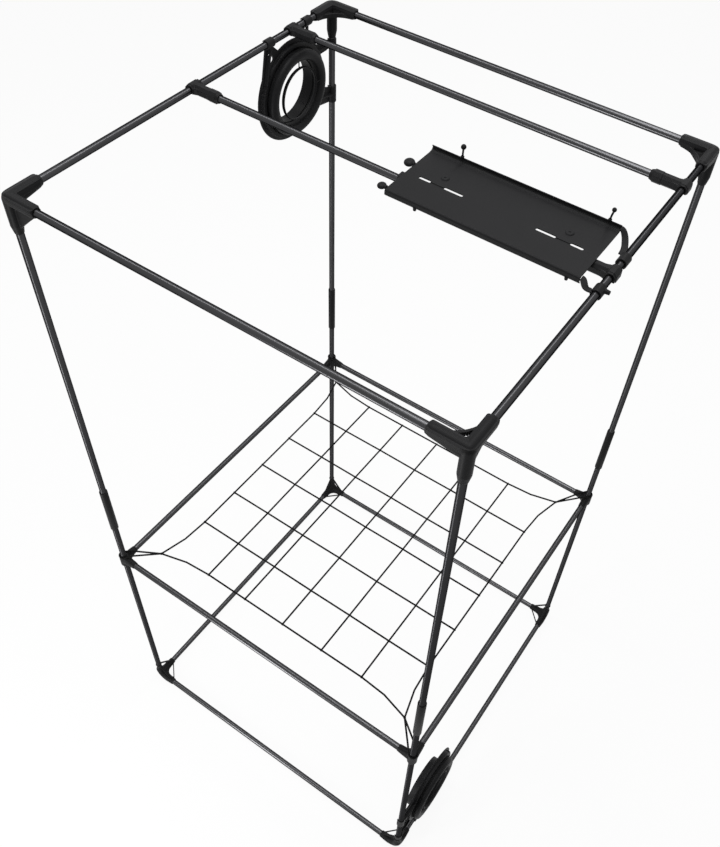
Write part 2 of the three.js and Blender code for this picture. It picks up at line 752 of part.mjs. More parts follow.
function ductMouthGeometry() {
  const lip = turnedAboutX([
    [lipBore, 2 + fitGap],
    [bandInner - 4, 2 + fitGap],
    [bandInner - 4, 12],
    [lipOuter, 16],
    [lipOuter - 2, 24],
    [(lipOuter + lipBore) / 2 + 2, lipFront],
    [lipBore + 5, 26],
    [lipBore, 20],
  ]);
  const hoop = turnedAboutX([[hoopRadius - 1.4, 23], [hoopRadius, 20.6], [hoopRadius + 1.4, 23]]);
  const [tip, half] = [lipBore + 3, spokeWidth / 2];
  const spoke = polygon([[hoopRadius, -half], [tip, -half], [tip, half], [hoopRadius, half]]);
  const spokes = spokeTurns.map((degrees) => (
    slab(spoke, 'x', 21, 23).rotateX((degrees * Math.PI) / 180)
  ));
  return geometryOf(join([lip, hoop, ...spokes]));
}

// ---- Assembly ----
const frame = new THREE.Group();
frame.name = 'pole_frame';

function place(parent, name, geometry, material, position = [0, 0, 0], turnZ = 0) {
  const mesh = new THREE.Mesh(geometry, material);
  mesh.name = name;
  mesh.position.set(...position);
  mesh.rotation.z = turnZ;
  parent.add(mesh);
  return mesh;
}

const halfWidth = frameWidth / 2;
const halfDepth = frameDepth / 2;
const bottomLevel = railLift;
const midLevel = railLift + netRise;
const topLevel = railLift + frameRise;

const corners = [
  { name: 'front_left', x: -halfWidth, y: -halfDepth, turn: 0, webbed: true },
  { name: 'front_right', x: halfWidth, y: -halfDepth, turn: Math.PI / 2, webbed: true },
  { name: 'back_right', x: halfWidth, y: halfDepth, turn: Math.PI, webbed: true },
  { name: 'back_left', x: -halfWidth, y: halfDepth, turn: -Math.PI / 2, webbed: false },
];

const sides = [
  { name: 'front', start: [-halfWidth, -halfDepth], direction: X, span: frameWidth },
  { name: 'right', start: [halfWidth, -halfDepth], direction: Y, span: frameDepth },
  { name: 'back', start: [-halfWidth, halfDepth], direction: X, span: frameWidth },
  { name: 'left', start: [-halfWidth, -halfDepth], direction: Y, span: frameDepth },
];

const sleeve = sleeveGeometry();
const baseCorner = baseCornerGeometry();
const midCorner = midCornerGeometry();
const topCorner = { true: topCornerGeometry(true), false: topCornerGeometry(false) };

for (const { name, x, y, turn, webbed } of corners) {
  const jointLevel = railLift + jointRise;
  const legStart = bottomLevel + socketDepth + fitGap;
  const lowerEnd = jointLevel - sleeveStop / 2 - fitGap;
  const upperStart = jointLevel + sleeveStop / 2 + fitGap;
  const legEnd = topLevel - socketDepth - fitGap;
  place(frame, `base_corner_${name}`, baseCorner, blackMoulding, [x, y, bottomLevel], turn);
  place(frame, `mid_corner_${name}`, midCorner, blackMoulding, [x, y, midLevel], turn);
  place(frame, `top_corner_${name}`, topCorner[webbed], blackMoulding, [x, y, topLevel], turn);
  place(frame, `leg_sleeve_${name}`, sleeve, blackMoulding, [x, y, jointLevel]);
  frame.add(pole(`lower_leg_${name}`, new THREE.Vector3(x, y, legStart), Z, lowerEnd - legStart));
  frame.add(pole(`upper_leg_${name}`, new THREE.Vector3(x, y, upperStart), Z, legEnd - upperStart));
}

const levels = [
  { name: 'base_pole', height: bottomLevel, socket: socketDepth },
  { name: 'mid_pole', height: midLevel, socket: midSocket },
  { name: 'top_pole', height: topLevel, socket: socketDepth },
];

for (const level of levels) {
  const inset = level.socket + fitGap;
  for (const { name, start, direction, span } of sides) {
    const from = new THREE.Vector3(...start, level.height).addScaledVector(direction, inset);
    frame.add(pole(`${level.name}_${name}`, from, direction, span - 2 * inset));
  }
}

place(frame, 'net', netGeometry(), elasticCord, [0, 0, midLevel]);

const tee = teeGeometry();
for (const [row, y] of [['middle', crossMiddle], ['back', crossBack]]) {
  const inset = teeSocket + fitGap;
  const from = new THREE.Vector3(inset - halfWidth, y, topLevel);
  frame.add(pole(`cross_pole_${row}`, from, X, frameWidth - 2 * inset));
  place(frame, `tee_${row}_left`, tee, blackMoulding, [-halfWidth, y, topLevel]);
  place(frame, `tee_${row}_right`, tee, blackMoulding, [halfWidth, y, topLevel], Math.PI);
}

const board = new THREE.Group();
board.position.set(halfWidth - boardFromRail, crossMiddle, topLevel);
frame.add(board);
place(board, 'equipment_board', boardGeometry(), sheetMetal);
const sheetLevel = boardUnder + boardThickness / 2;
const lipTop = sheetLevel + lipHeight + 0.85 + fitGap;
const edge = boardHalf + fitGap;
const rail = boardFromRail;
place(board, 'peg_back_left', ballPegGeometry(5.5, 18, 0), blackMoulding, [-137, boardBack - 3.4, lipTop]);
place(board, 'peg_back_right', ballPegGeometry(4.5, 20, 3), blackMoulding, [181, boardBack - 3.4, lipTop]);
place(board, 'knob_front_left', sideKnobGeometry(9, 2), blackMoulding, [-edge, boardFront + 8, sheetLevel]);
place(board, 'knob_left', sideKnobGeometry(11, 1), blackMoulding, [-edge, 40, sheetLevel]);
place(board, 'board_clip', boardClipGeometry(), blackMoulding, [boardClipLength / 2 - boardHalf - 8, 0, 0]);
const hookPath = (places) => places.map(([x, y, z]) => new THREE.Vector3(x - rail, y, z));
const backPath = hookPath([
  [edge, boardBack - 6, sheetLevel + 8],
  [edge + 4, boardBack - 6, sheetLevel + 8],
  [edge + 13, boardBack - 12, sheetLevel + 1],
  [edge + 20, boardBack - 25, 9],
  [rail - clipRadius + 1, hookBack + 24, 5],
  [rail - clipRadius + 2, hookBack + 8, 4],
]);
const frontPath = hookPath([
  [edge, boardFront + 7, sheetLevel - 3],
  [edge + 4, boardFront + 7, sheetLevel - 3],
  [edge + 11, boardFront - 4, 8],
  [edge + 18, boardFront - 8, 5],
  [rail - clipRadius + 2, boardFront - 4, 4],
]);
place(board, 'board_hook_back', boardHookGeometry(backPath, hookBack, -1), blackMoulding, [rail, 0, 0]);
place(board, 'board_hook_front', boardHookGeometry(frontPath, hookFront, 1), blackMoulding, [rail, 0, 0]);

const ductOffsets = [
  { name: 'top', x: -halfWidth, y: halfDepth - ductFromLeg, z: topLevel - ductFromRail, flip: 0 },
  { name: 'low', x: halfWidth, y: ductFromLeg - halfDepth, z: bottomLevel + ductFromRail, flip: Math.PI },
];
const ductMount = ductMountGeometry();
const ductSpigot = ductSpigotGeometry();
const ductMouth = ductMouthGeometry();
for (const { name, x, y, z, flip } of ductOffsets) {
  const group = new THREE.Group();
  group.position.set(x, y, z);
  group.rotation.x = flip;
  frame.add(group);
  place(group, `duct_mount_${name}`, ductMount, blackMoulding);
  place(group, `duct_spigot_${name}`, ductSpigot, blackMoulding);
  place(group, `duct_mouth_${name}`, ductMouth, blackMoulding);
}

export default frame;
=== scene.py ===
"""Looks of a knock-down pole frame with a level net, two cross poles, an equipment board and two
duct rings. The scene is in metres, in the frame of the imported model: +Z up, the origin on the floor
under the middle. Forms are modelled in millimetres round their own centre and placed at the end."""

import json
import math

import bmesh
import bpy
from mathutils import Matrix, Quaternion, Vector


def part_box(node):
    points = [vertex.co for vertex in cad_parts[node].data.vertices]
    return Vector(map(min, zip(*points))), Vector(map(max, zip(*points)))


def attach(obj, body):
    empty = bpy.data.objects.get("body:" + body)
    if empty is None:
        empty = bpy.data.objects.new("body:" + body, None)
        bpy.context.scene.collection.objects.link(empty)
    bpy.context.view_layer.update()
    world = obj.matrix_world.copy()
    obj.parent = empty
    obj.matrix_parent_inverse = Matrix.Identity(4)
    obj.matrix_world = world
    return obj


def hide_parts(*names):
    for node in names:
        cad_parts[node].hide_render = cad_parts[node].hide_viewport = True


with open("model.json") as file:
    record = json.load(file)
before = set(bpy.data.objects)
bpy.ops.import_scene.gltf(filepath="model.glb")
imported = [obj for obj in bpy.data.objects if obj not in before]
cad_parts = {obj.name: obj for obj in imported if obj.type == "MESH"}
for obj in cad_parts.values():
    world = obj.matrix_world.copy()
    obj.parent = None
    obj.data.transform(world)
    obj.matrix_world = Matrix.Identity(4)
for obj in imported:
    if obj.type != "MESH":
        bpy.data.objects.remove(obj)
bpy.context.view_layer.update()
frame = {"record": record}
scene = bpy.context.scene
record = frame["record"]
body_of = {node: body for body, members in record["behaviour"]["bodies"].items() for node in members}
slot_of = {entry["node"]: entry["material_slot"] for entry in record["subparts"]}

MM = 0.001

# ---- Sizes in millimetres, as the solids have them ----
POLE_RADIUS = 8
POLE_WALL = 1.2
FIT_GAP = 0.3
BORE = POLE_RADIUS + FIT_GAP
SOCKET_DEPTH = 30
SLEEVE_LENGTH, SLEEVE_RADIUS, SLEEVE_STOP = 165, 10.5, 3
BASE_ARM, BASE_LEG_ARM, BASE_RADIUS, BASE_MOUTH, ELBOW = 58, 66, 12, 10.2, 34
STRAP_THICKNESS, STRAP_WIDTH = 3, 7
RAIL_LIFT = 11.5
HUB_RADIUS, HUB_TOP, HUB_BOTTOM = 13, 17, 21
MID_ARM, MID_ARM_RADIUS, MID_MOUTH, MID_SOCKET, MID_FILLET = 42, 10, 9.3, 16, 20
TOP_ARM, TOP_LEG_ARM, TOP_RADIUS, TOP_MOUTH, TOP_TAPER = 72, 77, 12.6, 10.6, 8
DECK_HEIGHT, DECK_ROOT, DECK_OUTER, DECK_INNER, DECK_CORNER, KEEL_DROP = 9.2, 2, 13, 10.5, 22, 11
LEG_TAPER, LEG_MOUTH, WEB_THICKNESS, WEB_REACH, WEB_FOOT = 18, 9.2, 6, 66, -63
STRAP_TOP, STRAP_BOTTOM = -1, -11
STRAP_FRONT, STRAP_BACK = ((67, 8), (17, 17), (8, 67)), ((8, 58), (13.5, 13.5), (58, 8))
TEE_REACH, TEE_RADIUS, TEE_MOUTH, TEE_RIM, TEE_SOCKET = 72, 12.8, 10, 13.5, 18
SADDLE_LENGTH, SADDLE_RADIUS, SADDLE_FOOT, SNAP_WIDTH = 32, 12.6, -6.5, 12.5
NET_PITCH, NET_LINES, NET_EDGE, NET_CORNER = 132, 5, 392, 418
CORD_RADIUS, KNOT_RADIUS, LOOP_CLEARANCE = 2.5, 3.8, 0.5
BOARD_HALF, BOARD_FRONT, BOARD_BACK, BOARD_THICKNESS, LIP_HEIGHT = 206, -64, 106, 2, 12
SLOT_LINE, SLOT_WIDTH, OUTER_SLOT, INNER_SLOT = 10, 7, (149, 176), (78, 120)
BOSS_OFFSET, BOSS_LINE, NUB_PLACES, BOARD_CLIP = 134, 37, (-138, 181), 20
HOOK_LENGTH, HOOK_BACK, HOOK_FRONT = 24, 46, -58
DUCT_FROM_LEG, DUCT_FROM_RAIL = 160, 150
BAND_OUTER, BAND_INNER, FLANGE_OUTER, DUCT_BORE, SPIGOT_WALL, SPIGOT_BACK = 116, 106, 125, 77, 3, -28
LIP_OUTER, LIP_BORE, LIP_FRONT = 104, 79, 28
HOOP_RADIUS, HOOP_THICK, HOOP_WIDTH, HOOP_PLACE = 63.5, 1.5, 4.5, 22
CLIP_RADIUS, RAIL_CLIPS, LEG_CLIPS, CLIP_LENGTH, LONG_CLIP = 11.2, (-80, 58), (58, -78), 24, 45
RUNG_COUNT, RUNG_STEP = 11, math.radians(6)

ROUND_STEPS, DUCT_STEPS, BALL_STEPS = 48, 128, (32, 20)
SAME_POINT = 1e-4
PAST = 5  # how far a cutting tool runs on past the end of a piece
X, Y, Z = Vector((1, 0, 0)), Vector((0, 1, 0)), Vector((0, 0, 1))


# ---- Places, read from the frame ----
def middle(node):
    low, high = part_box(node)
    return (low + high) / 2


bottom_level = middle("base_pole_front").z
mid_level = middle("mid_pole_front").z
top_level = middle("top_pole_front").z
CORNER_TURNS = {"front_left": 0, "front_right": 90, "back_right": 180, "back_left": -90}


def corner_place(corner, level):
    leg = middle(f"lower_leg_{corner}")
    turn = Matrix.Rotation(math.radians(CORNER_TURNS[corner]), 4, "Z")
    return Matrix.Translation((leg.x, leg.y, level)) @ turn


# ---- Camera ----
PHOTO_WIDTH, PHOTO_HEIGHT = 720, 847
VIEW_AZIMUTH, VIEW_ELEVATION, VIEW_ROLL = (math.radians(a) for a in (29.98, 49.71, 5.13))
VIEW_POINT = Vector((0.8269, -1.2796, 3.0141))
FOCAL_LENGTH = 38.94
VIEW_CENTRE = (400.8, 426.5)
FILM_WIDTH = 36
NEAREST, FARTHEST = 0.05, 60


def add_camera():
    data = bpy.data.cameras.new("camera")
    data.sensor_width = FILM_WIDTH
    data.lens = FOCAL_LENGTH
    data.shift_x = -(VIEW_CENTRE[0] - PHOTO_WIDTH / 2) / PHOTO_HEIGHT
    data.shift_y = (VIEW_CENTRE[1] - PHOTO_HEIGHT / 2) / PHOTO_HEIGHT
    data.clip_start = NEAREST
    data.clip_end = FARTHEST
    back = Vector((
        math.sin(VIEW_AZIMUTH) * math.cos(VIEW_ELEVATION),
        -math.cos(VIEW_AZIMUTH) * math.cos(VIEW_ELEVATION),
        math.sin(VIEW_ELEVATION),
    ))
    right = Vector((math.cos(VIEW_AZIMUTH), math.sin(VIEW_AZIMUTH), 0))
    up = back.cross(right)
    rolled_right = right * math.cos(VIEW_ROLL) + up * math.sin(VIEW_ROLL)
    rolled_up = up * math.cos(VIEW_ROLL) - right * math.sin(VIEW_ROLL)
    turn = Matrix((rolled_right, rolled_up, back)).transposed().to_4x4()
    camera = bpy.data.objects.new("camera", data)
    camera.matrix_world = Matrix.Translation(VIEW_POINT) @ turn
    scene.collection.objects.link(camera)
    scene.camera = camera


# ---- Finishes; colours are linear red, green and blue ----
STEEL_DARK, STEEL_LIGHT, STEEL_RUBBED = (0.042, 0.042, 0.044), (0.062, 0.062, 0.0645), (0.12, 0.12, 0.122)
MOULDING_DARK, MOULDING_LIGHT = (0.007, 0.007, 0.0075), (0.0125, 0.0125, 0.0132)
SHEET_DARK, SHEET_LIGHT = (0.0088, 0.0088, 0.0094), (0.0135, 0.0135, 0.0142)
PALE_WEAR = (0.02, 0.02, 0.021)
CORD_DARK, CORD_LIGHT = (0.002, 0.002, 0.0022), (0.006, 0.006, 0.0064)
NOISE_ROUGHNESS = 0.55
MIX_SHARE, MIX_UNDER, MIX_OVER, MIX_RESULT = 0, 6, 7, 2  # colour sockets of the mix node


class Value:
    """A shader socket that can stand in a formula."""

    def __init__(self, finish, socket):
        self.finish = finish
        self.socket = socket

    def worked(self, operation, first, second=0.0):
        return self.finish.node("ShaderNodeMath", {"operation": operation}, {0: first, 1: second})

    def __add__(self, other):
        return self.worked("ADD", self, other)

    def __radd__(self, other):
        return self.worked("ADD", other, self)

    def __sub__(self, other):
        return self.worked("SUBTRACT", self, other)

    def __mul__(self, other):
        return self.worked("MULTIPLY", self, other)

    def sine(self):
        return self.worked("SINE", self)

    def absolute(self):
        return self.worked("ABSOLUTE", self)

    def over(self, limit):
        return self.worked("GREATER_THAN", self, limit)


class Finish:
    """A material built from formulas."""

    def __init__(self, name, fixed):
        self.material = bpy.data.materials.new(name)
        self.material.use_nodes = True
        self.tree = self.material.node_tree
        self.shader = next(n for n in self.tree.nodes if n.type == "BSDF_PRINCIPLED")
        for socket, value in fixed.items():
            self.shader.inputs[socket].default_value = value

    def put(self, socket, value):
        if isinstance(value, Value):
            self.tree.links.new(value.socket, socket)
        else:
            socket.default_value = value

    def node(self, kind, settings=None, inputs=None, output=0):
        node = self.tree.nodes.new(kind)
        for key, value in (settings or {}).items():
            setattr(node, key, value)
        for key, value in (inputs or {}).items():
            self.put(node.inputs[key], value)
        return Value(self, node.outputs[output])

    def place(self, scale):
        """Object coordinates, stretched by a scale per metre along each axis."""
        here = self.node("ShaderNodeTexCoord", output="Object")
        return self.node("ShaderNodeMapping", {}, {"Vector": here, "Scale": scale})

    def streaks(self, scale, detail=3.0):
        """Noise with its own scale per metre along each axis."""
        return self.node("ShaderNodeTexNoise", {}, {
            "Vector": self.place(scale), "Scale": 1.0, "Detail": detail, "Roughness": NOISE_ROUGHNESS,
        })

    def noise(self, scale, detail=3.0):
        """Noise of one scale per metre all ways."""
        return self.streaks((scale, scale, scale), detail)

    def layer(self, share, under, colour):
        """A colour laid over another one where share is 1."""
        mix = self.tree.nodes.new("ShaderNodeMix")
        mix.data_type = "RGBA"
        self.put(mix.inputs[MIX_SHARE], share)
        self.put(mix.inputs[MIX_UNDER], under)
        mix.inputs[MIX_OVER].default_value = (*colour, 1)
        return Value(self, mix.outputs[MIX_RESULT])

    def blend(self, share, dark, light):
        return self.layer(share, (*dark, 1), light)

    def surface(self, colour, roughness, height, depth, strength):
        """The finished material; height makes a relief as deep as depth, in metres."""
        bump = self.node("ShaderNodeBump", {}, {
            "Height": height, "Distance": depth, "Strength": strength,
        })
        self.put(self.shader.inputs["Base Color"], colour)
        self.put(self.shader.inputs["Roughness"], roughness)
        self.put(self.shader.inputs["Normal"], bump)
        return self.material


def pole_finish(axis):
    """Dark coated steel with fine draw lines along one axis and small rubbed marks. Its edges stay dark.
    On the legs the gloss is drawn out along the pole."""
    lines_along, lines_across = 6, 700
    scale = tuple(lines_along if name == axis else lines_across for name in "XYZ")
    fixed = {"Metallic": 1.0, "Specular Tint": (0.0, 0.0, 0.0, 1)}
    if axis == "Z":
        fixed.update({"Anisotropic": 0.85, "Anisotropic Rotation": 0.25})
    finish = Finish(f"pole_steel_{axis.lower()}", fixed)
    lines = finish.streaks(scale, detail=1.0)
    patches = finish.noise(7)
    marks = finish.noise(140, detail=5.0).over(0.74)
    colour = finish.blend(patches * 0.5 + lines * 0.5, STEEL_DARK, STEEL_LIGHT)
    colour = finish.layer(marks * 0.4, colour, STEEL_RUBBED)
    smoothest = 0.36 if axis == "Z" else 0.24
    roughness = smoothest + lines * 0.03 + patches * 0.05
    return finish.surface(colour, roughness, lines, depth=0.00001, strength=0.05)


def moulding_finish():
    """Black moulded plastic: a fine even grain, faint flow clouds and a few paler scuffs."""
    finish = Finish("black_moulding", {"Specular IOR Level": 0.07})
    grain = finish.noise(2200, detail=2.0)
    clouds = finish.noise(22, detail=4.0)
    scuffs = finish.streaks((420, 90, 420), detail=6.0).over(0.72)
    colour = finish.blend(clouds, MOULDING_DARK, MOULDING_LIGHT)
    colour = finish.layer(scuffs * 0.4, colour, PALE_WEAR)
    return finish.surface(colour, 0.36 + grain * 0.14 + clouds * 0.1, grain, depth=0.00006, strength=0.4)


def sheet_finish():
    """Matt black powder coat with an orange-peel surface and fine pale dust specks."""
    finish = Finish("coated_sheet", {"Specular IOR Level": 0.07})
    peel = finish.noise(900, detail=1.5)
    clouds = finish.noise(7)
    specks = finish.noise(2600, detail=1.0).over(0.74)
    colour = finish.blend(clouds, SHEET_DARK, SHEET_LIGHT)
    colour = finish.layer(specks * 0.5, colour, PALE_WEAR)
    return finish.surface(colour, 0.46 + peel * 0.16, peel, depth=0.00005, strength=0.35)


def cord_finish():
    """The braided cover of an elastic cord. U runs once round the cord and V along it, in centimetres."""
    finish = Finish("elastic_braid", {"Specular IOR Level": 0.1, "Sheen Weight": 0.05})
    plaits, pitch = 5, 2.6
    uv = finish.node("ShaderNodeTexCoord", output="UV")
    parts = finish.tree.nodes.new("ShaderNodeSeparateXYZ")
    finish.tree.links.new(uv.socket, parts.inputs[0])
    round_turn = Value(finish, parts.outputs[0]) * (2 * math.pi * plaits)
    advance = Value(finish, parts.outputs[1]) * (2 * math.pi * pitch)
    right_plait = (round_turn + advance).sine()
    left_plait = (round_turn - advance).sine()
    weave = (right_plait * left_plait).absolute()
    fuzz = finish.noise(3000)
    colour = finish.blend(weave * 0.7 + fuzz * 0.3, CORD_DARK, CORD_LIGHT)
    return finish.surface(colour, 0.75 + fuzz * 0.2, weave, depth=0.0003, strength=0.6)


finishes = {
    "moulding": moulding_finish(),
    "sheet": sheet_finish(),
    "cord": cord_finish(),
    "pole_X": pole_finish("X"),
    "pole_Y": pole_finish("Y"),
    "pole_Z": pole_finish("Z"),
}


# ---- Forms ----
def link(mesh):
    form = bpy.data.objects.new("form", mesh)
    scene.collection.objects.link(form)
    return form


def made(bm):
    bmesh.ops.recalc_face_normals(bm, faces=bm.faces)
    mesh = bpy.data.meshes.new("form")
    bm.to_mesh(mesh)
    bm.free()
    return link(mesh)


def rod(start, end, radius, end_radius=None, sides=ROUND_STEPS):
    """A closed round bar between two points, or a cone where the end radius differs."""
    start, end = Vector(start), Vector(end)
    axis = end - start
    turn = Z.rotation_difference(axis).to_matrix().to_4x4()
    bm = bmesh.new()
    bmesh.ops.create_cone(
        bm, cap_ends=True, segments=sides,
        radius1=radius, radius2=radius if end_radius is None else end_radius,
        depth=axis.length, matrix=Matrix.Translation((start + end) / 2) @ turn,
    )
    return made(bm)


def ball(centre, radius):
    bm = bmesh.new()
    round_steps, height_steps = BALL_STEPS
    bmesh.ops.create_uvsphere(
        bm, u_segments=round_steps, v_segments=height_steps, radius=radius,
        matrix=Matrix.Translation(centre),
    )
    return made(bm)


SHEET_AXES = {
    "x": lambda u, v, w: (w, u, v),
    "y": lambda u, v, w: (u, w, v),
    "z": lambda u, v, w: (u, v, w),
}


def plate(outline, axis, low, high):
    """A flat outline pushed along one axis. Across X it is drawn in (y, z), across Y in (x, z)."""
    at = SHEET_AXES[axis]
    bm = bmesh.new()
    face = bm.faces.new([bm.verts.new(at(u, v, low)) for u, v in outline])
    pushed = bmesh.ops.extrude_face_region(bm, geom=[face], use_keep_orig=True)
    moved = [item for item in pushed["geom"] if isinstance(item, bmesh.types.BMVert)]
    bmesh.ops.translate(bm, verts=moved, vec=at(0, 0, high - low))
    bmesh.ops.triangulate(bm, faces=[f for f in bm.faces if len(f.verts) > 4])
    return made(bm)


def turned(profile, axis=Z, steps=ROUND_STEPS):
    """A closed profile of (radius, along) pairs turned about an axis through the centre."""
    turn = Z.rotation_difference(axis).to_matrix()
    bm = bmesh.new()
    ring = [bm.verts.new(turn @ Vector((radius, 0, along))) for radius, along in profile]
    edges = [bm.edges.new((a, b)) for a, b in zip(ring, ring[1:] + ring[:1])]
    bmesh.ops.spin(
        bm, geom=ring + edges, cent=(0, 0, 0), axis=axis, angle=2 * math.pi, steps=steps, use_merge=True,
        use_duplicate=False,
    )
    bmesh.ops.remove_doubles(bm, verts=bm.verts, dist=SAME_POINT)
    return made(bm)


def loft(rings, sides=ROUND_STEPS):
    """Oval rings along X, each (along, half width, half height), bridged and closed at both ends."""
    bm = bmesh.new()
    previous = None
    for along, half_width, half_height in rings:
        place = Matrix.Translation((along, 0, 0)) @ Matrix.Rotation(math.pi / 2, 4, "Y")
        stretch = Matrix.Diagonal((half_height, half_width, 1, 1))
        ring = bmesh.ops.create_circle(bm, segments=sides, radius=1, matrix=place @ stretch)["verts"]
        edges = list({edge for vert in ring for edge in vert.link_edges if edge.other_vert(vert) in ring})
        if previous:
            bmesh.ops.bridge_loops(bm, edges=previous + edges)
        previous = edges
    bmesh.ops.holes_fill(bm, edges=bm.edges, sides=sides)
    return made(bm)


def curve_form(points, thickness, half_width=0.0, widths=None, tilt=0.0, smooth=False, resolution=6):
    """A round or flat bar along points; half_width spreads it sideways."""
    data = bpy.data.curves.new("route", "CURVE")
    data.dimensions = "3D"
    data.twist_mode = "Z_UP"
    data.bevel_depth = thickness
    data.bevel_resolution = resolution
    data.extrude = half_width
    data.use_fill_caps = True
    data.resolution_u = 12
    spline = data.splines.new("NURBS" if smooth else "POLY")
    spline.points.add(len(points) - 1)
    for index, (point, place) in enumerate(zip(spline.points, points)):
        point.co = (*place, 1)
        point.radius = widths[index] if widths else 1
        point.tilt = tilt
    if smooth:
        spline.use_endpoint_u = True
        spline.order_u = min(4, len(points))
    holder = bpy.data.objects.new("route", data)
    scene.collection.objects.link(holder)
    mesh = bpy.data.meshes.new_from_object(holder.evaluated_get(bpy.context.evaluated_depsgraph_get()))
    bpy.data.objects.remove(holder)
    return link(mesh)


def arc(centre, radius, start, end, steps):
    """Points (u, v) of a round stretch, angles in degrees."""
    for index in range(steps + 1):
        angle = math.radians(start + (end - start) * index / steps)
        yield centre[0] + radius * math.cos(angle), centre[1] + radius * math.sin(angle)


def bend(start, control, end, steps=10):
    """Points (u, v) of a curve that leaves start and meets end aimed at control."""
    for index in range(steps + 1):
        t = index / steps
        yield tuple(
            (1 - t) ** 2 * a + 2 * t * (1 - t) * c + t * t * b for a, c, b in zip(start, control, end)
        )


def ribbon(points, thickness):
    """The closed outline of a strip of even thickness along a line of (u, v) points."""
    line = [Vector(p) for p in points]
    sides = {1: [], -1: []}
    for index, point in enumerate(line):
        before = (line[max(index, 1)] - line[max(index, 1) - 1]).normalized()
        last = min(index, len(line) - 2)
        after = (line[last + 1] - line[last]).normalized()
        normal_before, normal_after = (Vector((-d.y, d.x)) for d in (before, after))
        mitre = (normal_before + normal_after).normalized()
        for side, outline in sides.items():
            outline.append(point + mitre * side * thickness / 2 / mitre.dot(normal_after))
    return [tuple(p) for p in sides[1] + sides[-1][::-1]]


def softened(outline, radius, steps=4):
    """An outline with its corners rounded."""
    points = [Vector(p) for p in outline]
    result = []
    for index, corner in enumerate(points):
        before, after = points[index - 1] - corner, points[(index + 1) % len(points)] - corner
        reach = min(radius, before.length / 2.2, after.length / 2.2)
        start, end = corner + before.normalized() * reach, corner + after.normalized() * reach
        result.extend(bend(start, corner, end, steps))
    return result


def slot_outline(start, end, across, width, steps=10):
    radius = width / 2
    right = arc((end - radius, across), radius, -90, 90, steps)
    left = arc((start + radius, across), radius, 90, 270, steps)
    return [*right, *left]


# ---- Joining, cutting and moulding ----
def settle(form):
    """The form with its modifiers applied."""
    mesh = bpy.data.meshes.new_from_object(form.evaluated_get(bpy.context.evaluated_depsgraph_get()))
    old = form.data
    form.modifiers.clear()
    form.data = mesh
    bpy.data.meshes.remove(old)
    return form


def combine(form, operation, tools):
    for tool in tools:
        step = form.modifiers.new("step", "BOOLEAN")
        step.operation = operation
        step.solver = "MANIFOLD"
        step.object = tool
    settle(form)
    for tool in tools:
        bpy.data.objects.remove(tool)
    return form


def join(first, *others):
    return combine(first, "UNION", others)


def cut(form, *tools):
    return combine(form, "DIFFERENCE", tools)


def pile(*forms):
    """Forms gathered in one mesh without joining them; moulding fuses what runs together."""
    bm = bmesh.new()
    for form in forms:
        bm.from_mesh(form.data)
        bpy.data.objects.remove(form)
    mesh = bpy.data.meshes.new("form")
    bm.to_mesh(mesh)
    bm.free()
    return link(mesh)


def turned_over(form, matrix):
    form.data.transform(matrix)
    return form


def moulded(form, grain=1.0, rounds=5):
    """Fuses the parts as a moulding does: inner angles get a small fillet and edges a radius. A coarser
    grain or more rounds of smoothing make them larger."""
    fuse = form.modifiers.new("fuse", "REMESH")
    fuse.mode = "VOXEL"
    fuse.voxel_size = grain
    ease = form.modifiers.new("ease", "SMOOTH")
    ease.factor = 0.5
    ease.iterations = rounds
    return settle(form)


def edged(form, width, segments=2, angle=35):
    """A small radius on every sharp edge."""
    bevel = form.modifiers.new("edge", "BEVEL")
    bevel.width = width
    bevel.segments = segments
    bevel.limit_method = "ANGLE"
    bevel.angle_limit = math.radians(angle)
    bevel.use_clamp_overlap = True
    return settle(form)


def piece(form, node, place, finish=None, shade_angle=38, flats=False):
    """Puts a copy of the form in the node's place, on the node's body and with its finish."""
    mesh = form.data.copy()
    mesh.transform(place @ Matrix.Scale(MM, 4))
    mesh.shade_smooth()
    mesh.set_sharp_from_angle(angle=math.radians(shade_angle))
    mesh.materials.clear()
    mesh.materials.append(finish or finishes[slot_of[node]])
    copy = bpy.data.objects.new(f"{node}_fine", mesh)
    scene.collection.objects.link(copy)
    if flats:
        even = copy.modifiers.new("flats", "WEIGHTED_NORMAL")
        even.keep_sharp = True
        even.weight = 100
    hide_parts(node)
    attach(copy, body_of[node])
    return copy


def discard(form):
    bpy.data.objects.remove(form)


# ---- Poles and sleeves ----
def make_pole(node):
    low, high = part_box(node)
    size = high - low
    index = max(range(3), key=lambda i: size[i])
    length = size[index] / MM
    inner, rim = POLE_RADIUS - POLE_WALL, 0.4
    form = turned([
        (inner, 0), (POLE_RADIUS - rim, 0), (POLE_RADIUS, rim),
        (POLE_RADIUS, length - rim), (POLE_RADIUS - rim, length), (inner, length),
    ])
    start = (low + high) / 2
    start[index] = low[index]
    turn = Z.rotation_difference((X, Y, Z)[index]).to_matrix().to_4x4()
    piece(form, node, Matrix.Translation(start) @ turn, finishes[f"pole_{'XYZ'[index]}"])
    discard(form)


